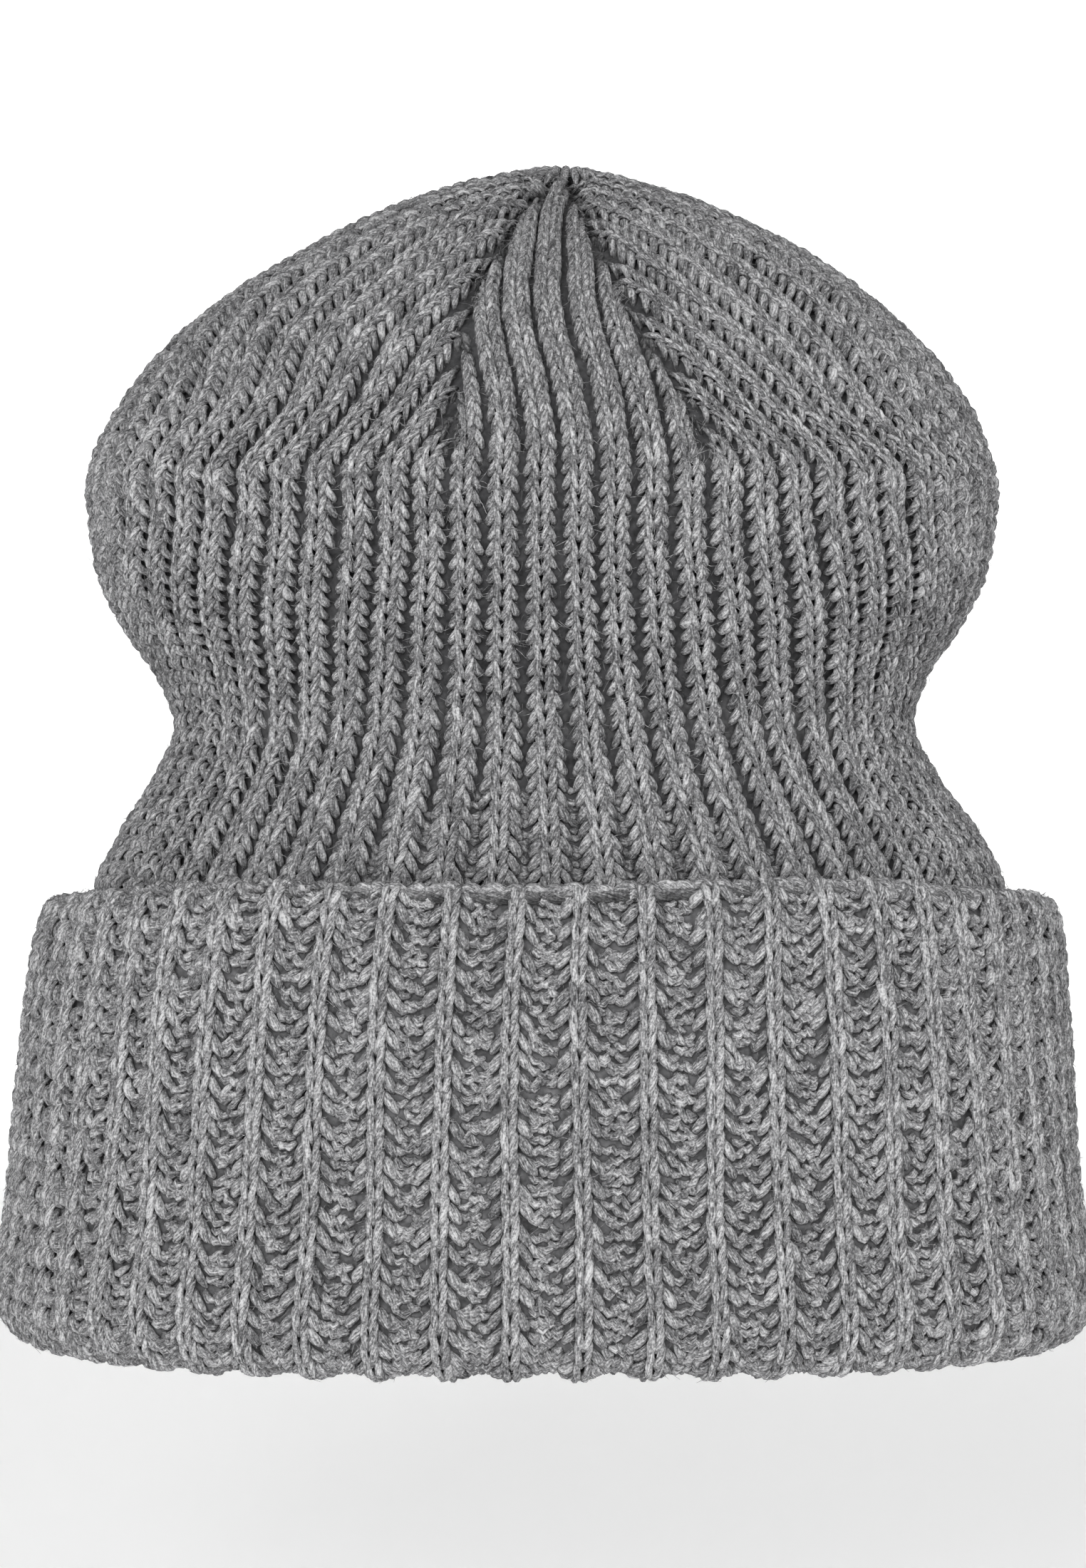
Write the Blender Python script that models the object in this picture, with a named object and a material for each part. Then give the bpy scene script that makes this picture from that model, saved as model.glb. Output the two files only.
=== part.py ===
# Knit beanie with a turned-up cuff.
#
# One piece of half-cardigan rib, turned up at the rim and closed over the
# head by four darts.  Frame: origin at the centre of the head opening, in the
# plane of the turned rim.  +Z points up to the crown, -Y is the front, +X is
# the wearer's left.  Everything is in metres.

import math

import bmesh
import bpy
import numpy as np

# ----------------------------------------------------------------- dimensions
MM = 0.001

RIBS = 84                   # rib columns around the hat
FABRIC = 3.2 * MM           # thickness of one layer of the rib, relaxed
GAP = 0.3 * MM              # clearance between neighbouring pieces

RIM_LIP_Z = 9.0 * MM        # top of the short inner lip of the turned rim
BODY_BOTTOM_Z = RIM_LIP_Z + 0.4 * MM
TOP_EASE = 1.0 * MM
DART_Z = 147.0 * MM         # level where the four darts begin
WIDEST_Z = 143.6 * MM       # level of the widest part of the crown
APEX_Z = 201.5 * MM
CROWN_HALF_WIDTH = 79.2 * MM
CROWN_HALF_DEPTH = 60.2 * MM
CROWN_RISE_POWER = 1.7      # how quickly the crown closes in
CROWN_TIP_POWER = 2.0 / 3.0

# Body stations: height, half width, half depth, squareness of the section.
BODY_STATIONS = [
    (9.0, 81.5, 56.5, 2.6),      # inside the cuff, next to the rim
    (40.0, 81.0, 56.0, 2.6),
    (62.0, 80.3, 55.3, 2.6),
    (76.0, 78.9, 54.2, 2.55),    # leaves the cuff
    (86.0, 74.2, 52.4, 2.45),
    (95.0, 68.0, 50.8, 2.35),
    (104.0, 64.0, 50.0, 2.3),    # waist
    (112.0, 66.6, 51.8, 2.3),
    (121.0, 72.8, 55.4, 2.3),
    (131.0, 77.4, 58.8, 2.3),
    (143.6, 79.2, 60.2, 2.3),    # widest part of the crown
]

# Cuff: height of its top edge at the front, drop of that edge at the sides.
CUFF_TOP_Z = 78.8 * MM
CUFF_SIDE_DROP = 4.7 * MM
CUFF_DROP_POWER = 5.0
CUFF_SQUARENESS = 2.6
DEPTH_LESS_THAN_WIDTH = 25.0 * MM    # cuff half depth = half width - this
CUFF_TRAVEL = 62.0 * MM              # how far the cuff turns down
EDGE_BEAD_R = 1.35 * MM              # bound-off edge along the cuff's top

# Darts: ribs left and right of the front centre where the two front darts
# begin, and how much they close in beyond a plain meridian.
DART_LEFT_RIBS = -2.5
DART_RIGHT_RIBS = 4.5
DART_CLOSE = 0.45
DART_POWER = 1.7
CROWN_TACK_HALF_WIDTH = 10.0 * MM
SEAM_WIDTH = 3.2 * MM
SEAM_HEIGHT = 1.6 * MM
SEAM_END_HALF_WIDTH = 22.0 * MM

LABEL_WIDTH = 26.0 * MM
LABEL_DROP = 36.0 * MM
LABEL_THICK = 0.5 * MM
LABEL_TOP_Z = 60.0 * MM

AROUND = 60                 # facets around the hat


# ------------------------------------------------------------------ the form
def smooth_table(points, column):
    """Monotone cubic through the stations: returns f(z) in metres."""
    z = [p[0] * MM for p in points]
    scale = 1.0 if column == 3 else MM
    v = [p[column] * scale for p in points]
    n = len(z)
    d = [(v[i + 1] - v[i]) / (z[i + 1] - z[i]) for i in range(n - 1)]
    m = [d[0]] + [0.0] * (n - 2) + [d[-1]]
    for i in range(1, n - 1):
        if d[i - 1] * d[i] > 0:
            h0, h1 = z[i] - z[i - 1], z[i + 1] - z[i]
            w0, w1 = 2 * h1 + h0, h1 + 2 * h0
            m[i] = (w0 + w1) / (w0 / d[i - 1] + w1 / d[i])

    def f(q):
        q = min(max(q, z[0]), z[-1])
        i = max(k for k in range(n - 1) if z[k] <= q)
        h = z[i + 1] - z[i]
        t = (q - z[i]) / h
        return (
            v[i] * (1 + 2 * t) * (1 - t) ** 2
            + h * m[i] * t * (1 - t) ** 2
            + v[i + 1] * t * t * (3 - 2 * t)
            + h * m[i + 1] * t * t * (t - 1)
        )

    return f


body_half_width = smooth_table(BODY_STATIONS, 1)
body_half_depth = smooth_table(BODY_STATIONS, 2)
body_squareness = smooth_table(BODY_STATIONS, 3)


def section(z):
    """Half width, half depth and squareness of the hat's outside at height z."""
    if z <= WIDEST_Z:
        return body_half_width(z), body_half_depth(z), body_squareness(z)
    s = min((z - WIDEST_Z) / (APEX_Z - WIDEST_Z), 0.9999)
    k = (1.0 - s ** CROWN_RISE_POWER) ** CROWN_TIP_POWER
    return CROWN_HALF_WIDTH * k, CROWN_HALF_DEPTH * k, 2.3 - 0.2 * s


def ring(a, b, n, fractions):
    """Points of the superellipse |x/a|^n + |y/b|^n = 1 at arc fractions,
    counted from the front centre (-Y) towards +X."""
    t = np.linspace(0.0, 2.0 * math.pi, 1441)
    dx, dy = np.sin(t), -np.cos(t)
    r = (np.abs(dx / a) ** n + np.abs(dy / b) ** n) ** (-1.0 / n)
    x, y = r * dx, r * dy
    step = np.hypot(np.diff(x), np.diff(y))
    arc = np.concatenate([[0.0], np.cumsum(step)])
    arc /= arc[-1]
    u = np.mod(np.asarray(fractions, float), 1.0)
    return np.column_stack([np.interp(u, arc, x), np.interp(u, arc, y)])


def hat_point(u, z):
    a, b, n = section(z)
    x, y = ring(a, b, n, [u])[0]
    return np.array([x, y, z])


def hat_frame(u, z):
    """Point on the outside, unit outward normal, unit tangent around."""
    p = hat_point(u, z)
    around = hat_point(u + 0.002, z) - hat_point(u - 0.002, z)
    lower = hat_point(u, z - 0.4 * MM)
    upper = hat_point(u, min(z + 0.4 * MM, APEX_Z - 0.05 * MM))
    up = upper - lower
    normal = np.cross(around, up)
    return p, normal / np.linalg.norm(normal), around / np.linalg.norm(around)


def crown_height_at(half_width):
    """Height of the crown where its half width has shrunk to the value given."""
    k = half_width / CROWN_HALF_WIDTH
    s = (1.0 - k ** (1.0 / CROWN_TIP_POWER)) ** (1.0 / CROWN_RISE_POWER)
    return WIDEST_Z + s * (APEX_Z - WIDEST_Z)


def dart_fraction(side, z):
    """Arc fraction of the front left (side -1) or front right (+1) dart."""
    left, right = DART_LEFT_RIBS / RIBS, DART_RIGHT_RIBS / RIBS
    middle, half = (left + right) / 2.0, (right - left) / 2.0
    s = max(0.0, (z - DART_Z) / (APEX_Z - DART_Z))
    return middle + side * half * (1.0 - DART_CLOSE * s ** DART_POWER)


# ------------------------------------------------------------- mesh helpers
def material(name, colour, roughness):
    m = bpy.data.materials.new(name)
    m.use_nodes = True
    shader = m.node_tree.nodes["Principled BSDF"]
    shader.inputs["Base Color"].default_value = (*colour, 1.0)
    shader.inputs["Roughness"].default_value = roughness
    shader.inputs["Metallic"].default_value = 0.0
    return m


def place(name, bm, mat, origin=(0.0, 0.0, 0.0)):
    """Turn a bmesh into a named object whose own origin is `origin`."""
    bmesh.ops.recalc_face_normals(bm, faces=bm.faces)
    for v in bm.verts:
        v.co.x -= origin[0]
        v.co.y -= origin[1]
        v.co.z -= origin[2]
    mesh = bpy.data.meshes.new(name)
    bm.to_mesh(mesh)
    bm.free()
    mesh.materials.append(mat)
    mesh.shade_smooth()
    mesh.set_sharp_from_angle(angle=math.radians(40.0))
    obj = bpy.data.objects.new(name, mesh)
    obj.location = origin
    bpy.context.scene.collection.objects.link(obj)
    return obj


def ring_of_sections(name, columns, mat, closed, origin=(0.0, 0.0, 0.0)):
    """Skin a row of equal closed cross-sections, either right round the hat
    (closed) or as a bar with two end caps."""
    bm = bmesh.new()
    rows = [[bm.verts.new(p) for p in c] for c in columns]
    m = len(rows[0])
    last = len(rows) if closed else len(rows) - 1
    for i in range(last):
        a, b = rows[i], rows[(i + 1) % len(rows)]
        for k in range(m):
            bm.faces.new((a[k], a[(k + 1) % m], b[(k + 1) % m], b[k]))
    if not closed:
        bm.faces.new(rows[0])
        bm.faces.new(list(reversed(rows[-1])))
    return place(name, bm, mat, origin)


# ------------------------------------------------------------------ materials
for old in list(bpy.data.objects):
    bpy.data.objects.remove(old, do_unlink=True)

knit = material("heather_grey_rib_knit", (0.19, 0.19, 0.195), 0.95)
knit_reverse = material("heather_grey_rib_reverse", (0.22, 0.22, 0.225), 0.95)
seam_thread = material("seam_thread", (0.13, 0.13, 0.135), 0.85)
label_satin = material("label_satin", (0.82, 0.82, 0.80), 0.45)


# ------------------------------------------------------- body tube, open ends
def body_column(u):
    levels = [p[0] * MM for p in BODY_STATIONS]
    levels[0] = BODY_BOTTOM_Z
    levels.insert(1, 24.0 * MM)
    levels[-1] = DART_Z - GAP
    outside, inside = [], []
    for z in levels:
        p, normal, _ = hat_frame(u, z)
        flat = np.array([normal[0], normal[1], 0.0])
        flat /= np.linalg.norm(flat)
        outside.append(p)
        inside.append(p - FABRIC / max(flat @ normal, 0.6) * flat)
    # the crown panels lean in, so the inner corner of this edge is eased
    inside[-1] = inside[-1] - np.array([0.0, 0.0, TOP_EASE])
    return outside + inside[::-1]


ring_of_sections(
    "body_tube",
    [body_column(i / AROUND) for i in range(AROUND)],
    knit,
    closed=True,
)


# ------------------------------------------------------------ the crown gores
TACK_Z = crown_height_at(CROWN_TACK_HALF_WIDTH)


def gore(name, start, end, steps):
    """One crown panel between two darts: a curved sheet, thickened inwards.
    start and end give the dart's arc fraction at a height."""
    top = crown_height_at(CROWN_TACK_HALF_WIDTH + 0.8 * MM)
    levels = 9
    bm = bmesh.new()
    grid = []
    for j in range(levels):
        f = j / (levels - 1)
        z = DART_Z + GAP + (top - DART_Z - GAP) * (1.0 - (1.0 - f) ** 1.55)
        a, b, n = section(z)
        around = 4.0 * (a + b) * 0.79
        lo = start(z) + 0.6 * GAP / around
        hi = end(z) - 0.6 * GAP / around
        grid.append(
            [bm.verts.new(hat_point(lo + (hi - lo) * i / steps, z)) for i in range(steps + 1)]
        )
    for j in range(levels - 1):
        for i in range(steps):
            bm.faces.new((grid[j][i], grid[j][i + 1], grid[j + 1][i + 1], grid[j + 1][i]))
    obj = place(name, bm, knit)
    skin = obj.modifiers.new("fabric", "SOLIDIFY")
    skin.thickness = FABRIC
    skin.offset = -1.0
    skin.use_even_offset = True
    skin.use_rim = True
    return obj


front_left = lambda z: dart_fraction(-1, z)
front_right = lambda z: dart_fraction(1, z)
back_right = lambda z: dart_fraction(-1, z) + 0.5
back_left = lambda z: dart_fraction(1, z) + 0.5
front_left_again = lambda z: dart_fraction(-1, z) + 1.0

gore("crown_front_gore", front_left, front_right, 6)
gore("crown_right_gore", front_right, back_right, 24)
gore("crown_back_gore", back_right, back_left, 6)
gore("crown_left_gore", back_left, front_left_again, 24)


# ----------------------------------------- drawn-in stitches closing the apex
def crown_tack():
    bm = bmesh.new()
    a, b, n = section(TACK_Z)
    shrink = (CROWN_TACK_HALF_WIDTH - 0.3 * MM) / CROWN_TACK_HALF_WIDTH
    spots = ring(a * shrink, b * shrink, n, [i / 20 for i in range(20)])
    half = ring(a * 0.5, b * 0.5, n, [i / 20 for i in range(20)])
    # from above: dimple in the middle, soft shoulder, rim, underside
    loops = [
        [bm.verts.new((x, y, APEX_Z - 1.1 * MM)) for x, y in half],
        [bm.verts.new((x, y, TACK_Z)) for x, y in spots],
        [bm.verts.new((x * 0.82, y * 0.82, TACK_Z - FABRIC)) for x, y in spots],
    ]
    for top, low in zip(loops, loops[1:]):
        for i in range(20):
            bm.faces.new((top[i], top[(i + 1) % 20], low[(i + 1) % 20], low[i]))
    dimple = bm.verts.new((0.0, 0.0, APEX_Z - 1.6 * MM))
    for i in range(20):
        bm.faces.new((dimple, loops[0][(i + 1) % 20], loops[0][i]))
    bm.faces.new(loops[-1])
    return place("crown_tack", bm, seam_thread)


crown_tack()


# ------------------------------------------------- seams: ridges inside the hat
def ridge(name, path, mat, width=SEAM_WIDTH, height=SEAM_HEIGHT, inset=FABRIC + GAP):
    """A flat overlocked ridge along (arc fraction, height) points, lying on
    the inside of the fabric."""
    columns = []
    for u, z in path:
        p, normal, around = hat_frame(u, z)
        foot = p - inset * normal
        top = foot - height * normal
        columns.append(
            [
                foot - around * width / 2,
                foot + around * width / 2,
                top + around * width * 0.36,
                top - around * width * 0.36,
            ]
        )
    return ring_of_sections(name, columns, mat, closed=False)


def dart_path(fraction):
    top = crown_height_at(SEAM_END_HALF_WIDTH)
    return [
        (fraction(z), z)
        for z in (
            DART_Z + 1.0 * MM + (top - DART_Z - 1.0 * MM) * (1.0 - (1.0 - k / 7.0) ** 1.3)
            for k in range(8)
        )
    ]


ridge("dart_seam_front_left", dart_path(front_left), seam_thread)
ridge("dart_seam_front_right", dart_path(front_right), seam_thread)
ridge("dart_seam_back_left", dart_path(back_left), seam_thread)
ridge("dart_seam_back_right", dart_path(back_right), seam_thread)

BACK = 0.5
back_levels = [14.0, 30.0, 50.0, 66.0, 76.0, 86.0, 95.0, 104.0, 112.0, 121.0, 131.0, 143.0]
ridge(
    "back_seam",
    [(BACK, z * MM) for z in back_levels],
    seam_thread,
    inset=FABRIC + 0.75 * MM,
)


# ------------------------------------------------------------------- the cuff
def cuff_top(x, a):
    """The top edge runs level across the front and drops at the two sides."""
    return CUFF_TOP_Z - CUFF_SIDE_DROP * min(1.0, abs(x) / a) ** CUFF_DROP_POWER


def cuff_ring_point(u, a):
    return ring(a, a - DEPTH_LESS_THAN_WIDTH, CUFF_SQUARENESS, [u])[0]


def cuff_column(u):
    """Cross-section of the cuff: outer layer, turned rim and short inner lip.
    Each entry is a half width of the hat's section and a height."""
    wall = [
        # up the outside
        (91.8, 0.0), (93.8, 1.6), (94.7, 6.0), (94.4, 13.0), (93.0, 24.0),
        (91.9, 38.0), (90.6, 53.0), (89.3, 64.0),
        # over the top edge: heights below zero count down from the top edge
        (87.6, -5.2), (86.4, -3.2), (84.2, -3.2), (83.3, -5.2),
        # down the inside of the outer layer, into the channel of the turn
        (84.6, 64.0), (86.4, 53.0), (87.8, 38.0), (89.0, 24.0), (90.4, 13.0),
        (90.3, 8.0), (88.6, 4.6), (85.6, 4.8), (82.6, 6.8),
        # the short inner lip, and down its inside to the rim
        (81.5, 9.0), (78.3, 9.0), (79.6, 5.4), (82.8, 1.9), (87.2, 0.0),
    ]
    x0, _ = cuff_ring_point(u, 86.0 * MM)
    top = cuff_top(x0, 86.0 * MM)
    column = []
    for half_width, height in wall:
        x, y = cuff_ring_point(u, half_width * MM)
        z = top + height * MM if height < 0 else height * MM
        column.append((x, y, z))
    return column


ring_of_sections(
    "cuff",
    [cuff_column(i / AROUND) for i in range(AROUND)],
    knit_reverse,
    closed=True,
)


# ---------------------------------------- bound-off edge along the cuff's top
def edge_column(u):
    half_width = 85.3 * MM
    x0, _ = cuff_ring_point(u, 86.0 * MM)
    middle = cuff_top(x0, 86.0 * MM) - EDGE_BEAD_R
    column = []
    for k in range(8):
        angle = 2.0 * math.pi * (k + 0.5) / 8
        x, y = cuff_ring_point(u, half_width + EDGE_BEAD_R * math.cos(angle))
        column.append((x, y, middle + EDGE_BEAD_R * math.sin(angle)))
    return column


ring_of_sections(
    "cuff_bound_edge",
    [edge_column(i / AROUND) for i in range(AROUND)],
    knit_reverse,
    closed=True,
)


# --------------------------------- back seam of the cuff, hidden in the turn-up
def cuff_seam():
    inner = [(90.4, 13.0), (89.0, 24.0), (87.8, 38.0), (86.4, 53.0), (84.9, 62.0)]
    columns = []
    for half_width, height in inner:
        y = (half_width - DEPTH_LESS_THAN_WIDTH / MM) * MM - 0.35 * MM
        z = height * MM
        columns.append(
            [
                (-1.8 * MM, y, z),
                (1.8 * MM, y, z),
                (1.3 * MM, y - 1.1 * MM, z),
                (-1.3 * MM, y - 1.1 * MM, z),
            ]
        )
    return ring_of_sections("cuff_seam", columns, seam_thread, closed=False)


cuff_seam()


# ------------------------------------- care label sewn in at the back, inside
LABEL_Y = body_half_depth(LABEL_TOP_Z) - FABRIC - 0.75 * MM - SEAM_HEIGHT - 1.0 * MM


def label_bar(name, z_low, z_high, thick, mat, width, origin):
    bm = bmesh.new()
    bmesh.ops.create_cube(bm, size=1.0)
    for v in bm.verts:
        v.co.x *= width
        v.co.y = LABEL_Y + v.co.y * thick
        v.co.z = (z_low + z_high) / 2.0 + v.co.z * (z_high - z_low)
    return place(name, bm, mat, origin)


label_bar(
    "care_label",
    LABEL_TOP_Z - LABEL_DROP,
    LABEL_TOP_Z,
    LABEL_THICK,
    label_satin,
    LABEL_WIDTH,
    (0.0, LABEL_Y, LABEL_TOP_Z),
)
label_bar(
    "label_stitches",
    LABEL_TOP_Z + GAP,
    LABEL_TOP_Z + GAP + 1.2 * MM,
    1.2 * MM,
    seam_thread,
    LABEL_WIDTH * 0.9,
    (0.0, LABEL_Y, LABEL_TOP_Z),
)
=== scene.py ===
# Looks of the knit beanie: every stitch is a strand of yarn laid on the hat's
# form.  Lengths inside this script are in millimetres until a mesh is made.
import math

import bpy
import numpy as np
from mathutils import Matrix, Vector


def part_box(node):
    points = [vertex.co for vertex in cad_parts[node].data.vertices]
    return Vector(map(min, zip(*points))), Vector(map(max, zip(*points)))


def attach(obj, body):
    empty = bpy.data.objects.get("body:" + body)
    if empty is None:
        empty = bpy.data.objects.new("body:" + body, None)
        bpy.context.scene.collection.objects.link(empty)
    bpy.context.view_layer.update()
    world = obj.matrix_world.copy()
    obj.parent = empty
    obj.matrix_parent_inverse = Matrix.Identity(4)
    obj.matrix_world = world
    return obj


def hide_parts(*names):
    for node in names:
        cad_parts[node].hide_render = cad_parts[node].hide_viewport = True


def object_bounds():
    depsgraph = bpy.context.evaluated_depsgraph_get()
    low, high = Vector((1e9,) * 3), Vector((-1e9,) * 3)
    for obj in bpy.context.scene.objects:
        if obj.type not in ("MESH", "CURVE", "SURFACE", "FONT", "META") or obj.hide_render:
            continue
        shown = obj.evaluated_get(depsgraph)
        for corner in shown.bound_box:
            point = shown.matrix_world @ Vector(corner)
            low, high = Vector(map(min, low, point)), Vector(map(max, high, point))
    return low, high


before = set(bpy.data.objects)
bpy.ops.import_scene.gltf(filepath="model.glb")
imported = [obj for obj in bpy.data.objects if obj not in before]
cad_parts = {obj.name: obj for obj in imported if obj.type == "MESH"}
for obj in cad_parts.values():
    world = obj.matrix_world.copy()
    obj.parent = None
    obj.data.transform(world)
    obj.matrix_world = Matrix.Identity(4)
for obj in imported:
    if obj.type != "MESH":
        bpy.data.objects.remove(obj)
CAD_LO, CAD_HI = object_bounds()
NODE_BOX = {n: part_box(n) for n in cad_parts}

rng = np.random.default_rng(11)

# --------------------------------------------------------------- dimensions
RIBS = 68
HEIGHT = CAD_HI[2] * 1000.0 + 1.1          # apex of the crown's form
BODY_FOOT = NODE_BOX["body_tube"][0][2] * 1000.0
CUFF_TOP = NODE_BOX["cuff_bound_edge"][1][2] * 1000.0
WIDEST = 143.6
DART = 147.0
CROWN_A, CROWN_B = 79.2, 60.2
ROW_BODY = 2.55                             # one stitch, along a rib
ROW_CUFF = 3.33
DART_LEFT, DART_RIGHT = -2.5, 4.5           # in ribs from the front centre
DART_MID, DART_HALF = 0.0135, 0.0466        # of the way round, where they begin

STATIONS = [  # height, half width, half depth, squareness
    (9.0, 81.5, 56.5, 2.6), (40.0, 81.0, 56.0, 2.6), (62.0, 80.3, 55.3, 2.6),
    (76.0, 78.9, 54.2, 2.55), (86.0, 74.2, 52.4, 2.45), (95.0, 68.0, 50.8, 2.35),
    (104.0, 64.0, 50.0, 2.3), (112.0, 66.6, 51.8, 2.3), (121.0, 72.8, 55.4, 2.3),
    (131.0, 77.4, 58.8, 2.3), (143.6, 79.2, 60.2, 2.3),
]
CUFF_LINE = [  # half width and height, from the inner lip round the rim to the top
    (78.3, 9.0), (78.9, 6.9), (80.4, 4.3), (82.8, 2.0), (85.4, 0.7), (88.2, 0.15),
    (91.0, 0.6), (93.2, 2.6), (94.5, 5.6), (94.9, 9.0), (94.4, 14.0), (93.1, 24.0),
    (92.1, 38.0), (90.9, 53.0), (89.6, 64.0), (88.9, 70.0), (88.1, 74.0),
    (86.9, 77.4), (85.4, 78.6), (84.0, 77.6), (83.4, 75.4),
]
SIDE_DROP = 4.7


def pchip(xs, ys):
    """Monotone cubic through points; returns a function of an array."""
    xs, ys = np.asarray(xs, float), np.asarray(ys, float)
    h, d = np.diff(xs), np.diff(ys) / np.diff(xs)
    m = np.zeros(len(xs))
    m[0], m[-1] = d[0], d[-1]
    for i in range(1, len(xs) - 1):
        if d[i - 1] * d[i] > 0:
            w0, w1 = 2 * h[i] + h[i - 1], h[i] + 2 * h[i - 1]
            m[i] = (w0 + w1) / (w0 / d[i - 1] + w1 / d[i])

    def f(x):
        x = np.clip(np.asarray(x, float), xs[0], xs[-1])
        i = np.clip(np.searchsorted(xs, x, side="right") - 1, 0, len(xs) - 2)
        t = (x - xs[i]) / h[i]
        return (
            ys[i] * (1 + 2 * t) * (1 - t) ** 2 + h[i] * m[i] * t * (1 - t) ** 2
            + ys[i + 1] * t * t * (3 - 2 * t) + h[i] * m[i + 1] * t * t * (t - 1)
        )

    return f


st = np.array(STATIONS)
body_a, body_b, body_n = (pchip(st[:, 0], st[:, k]) for k in (1, 2, 3))
centre_x = pchip(
    [0, 60, 80, 92, 104, 120, 150, 160, 175, 190, 197, 202],
    [0, 0.2, 0.8, 0.4, 0.1, -0.5, -0.8, 0.1, 0.5, 1.0, 2.2, 3.2],
)
# how unevenly the ribs are spread by height: wide at front and back, tight
# at the sides; two harmonics round the hat
SPREAD = np.array([
    (9, 0.34, 0.06), (72, 0.34, 0.06), (84, 0.31, 0.02), (95, 0.31, -0.02), (104, 0.33, -0.10),
    (113.6, 0.23, -0.13), (122, 0.09, -0.10), (131, -0.05, -0.04), (140, -0.12, 0.03), (156, -0.13, 0.04),
])
spread_1, spread_2 = (pchip(SPREAD[:, 0], SPREAD[:, k]) for k in (1, 2))


def smoothstep(x, lo, hi):
    t = np.clip((x - lo) / (hi - lo), 0, 1)
    return t * t * (3 - 2 * t)


def section(z):
    z = np.asarray(z, float)
    s = np.clip((z - WIDEST) / (HEIGHT - WIDEST), 0, 1)
    k = (1 - s ** 1.7) ** (2 / 3)
    up = z > WIDEST
    return (
        np.where(up, CROWN_A * k, body_a(z)),
        np.where(up, CROWN_B * k, body_b(z)),
        np.where(up, 2.3 - 0.2 * s, body_n(z)),
    )


FINE = 2880
U_GRID = np.linspace(0, 1, 721)


def ring(a, b, n):
    """Superellipse resampled at equal arc fractions from the front centre."""
    t = np.linspace(0, 2 * math.pi, FINE + 1)
    dx, dy = np.sin(t), -np.cos(t)
    r = (np.abs(dx / a) ** n + np.abs(dy / b) ** n) ** (-1 / n)
    x, y = r * dx, r * dy
    arc = np.concatenate([[0], np.cumsum(np.hypot(np.diff(x), np.diff(y)))])
    return np.interp(U_GRID, arc / arc[-1], x), np.interp(U_GRID, arc / arc[-1], y), arc[-1]


class Form:
    """A surface of revolution-like rings: position and normal at (u, m)."""

    def __init__(self, levels, rings):
        self.levels = np.asarray(levels)            # m of each ring
        self.P = np.stack(rings)                    # L x 721 x 3
        du = np.gradient(self.P, axis=1)
        du[:, 0] = du[:, -1] = self.P[:, 1] - self.P[:, -2]
        dm = np.gradient(self.P, axis=0)
        n = np.cross(du, dm)
        n /= np.maximum(np.linalg.norm(n, axis=2, keepdims=True), 1e-9)
        self.N = n

    def _at(self, A, u, m):
        u = np.mod(u, 1.0) * 720
        i = np.clip(u.astype(int), 0, 719)
        fu = (u - i)[..., None]
        pos = np.interp(m, self.levels, np.arange(len(self.levels)))
        j = np.clip(pos.astype(int), 0, len(self.levels) - 2)
        fm = (pos - j)[..., None]
        return (
            (A[j, i] * (1 - fu) + A[j, i + 1] * fu) * (1 - fm)
            + (A[j + 1, i] * (1 - fu) + A[j + 1, i + 1] * fu) * fm
        )

    def point(self, u, m):
        return self._at(self.P, u, m)

    def normal(self, u, m):
        n = self._at(self.N, u, m)
        return n / np.linalg.norm(n, axis=-1, keepdims=True)


def soft_noise(p, scale, seed):
    """Smooth vector-free noise: a few sine waves in fixed random directions."""
    g = np.random.default_rng(seed)
    out = 0
    for _ in range(7):
        k = g.normal(size=3)
        k *= g.uniform(0.6, 1.5) / (np.linalg.norm(k) * scale)
        out = out + np.sin(p @ k * 2 * math.pi + g.uniform(0, 6.28))
    return out / 3.7


# ------------------------------------------------------------- body's form
def body_form():
    z = np.concatenate([np.linspace(BODY_FOOT, WIDEST, 150), WIDEST + (HEIGHT - WIDEST) * (1 - (1 - np.linspace(0, 1, 111)[1:]) ** 1.9)])
    z[-1] = HEIGHT - 0.02
    a, b, n = section(z)
    rings, per = [], []
    for zz, aa, bb, nn in zip(z, a, b, n):
        x, y, p = ring(max(aa, 0.05), max(bb, 0.04), nn)
        rings.append(np.column_stack([x + centre_x(zz), y, np.full_like(x, zz)]))
        per.append(p)
    r = (a + b) / 2
    m = np.concatenate([[0], np.cumsum(np.hypot(np.diff(z), np.diff(r)))])
    return Form(m, rings), z, m, np.array(per)


BODY, BODY_Z, BODY_M, BODY_PER = body_form()
z_of_m = lambda m: np.interp(m, BODY_M, BODY_Z)
m_of_z = lambda z: np.interp(z, BODY_Z, BODY_M)
per_of_m = lambda m: np.interp(m, BODY_M, BODY_PER)
M_WIDE, M_DART, M_TOP = m_of_z(WIDEST), m_of_z(DART), BODY_M[-1]

# soft unevenness of the stuffed hat, fading out at the cuff
wob = soft_noise(BODY.P.reshape(-1, 3), 62.0, 5).reshape(BODY.P.shape[:2])
fade = smoothstep(BODY_Z, 84, 112)[:, None]
BODY.P = BODY.P + BODY.N * (0.75 * wob * fade)[..., None]


def u_even(q, z):
    """Arc fraction of rib q where the ribs are spread as at height z."""
    f = q / RIBS
    return f + spread_1(z) * np.sin(4 * np.pi * f) / (4 * np.pi) + spread_2(z) * np.sin(8 * np.pi * f) / (8 * np.pi)


def dart_mid(z):
    """Arc fraction of the narrow front panel's middle."""
    return DART_MID * (1 - smoothstep(z, 147.0, 176.0))


def dart_half(z):
    s = np.clip((z - DART) / (HEIGHT - DART), 0, 1)
    return DART_HALF * (1 - 0.5 * s ** 1.2)


def dart_u(side, z):
    """Arc fraction of the two front darts; the back ones are half a turn on."""
    return dart_mid(z) + side * dart_half(z)


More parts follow.
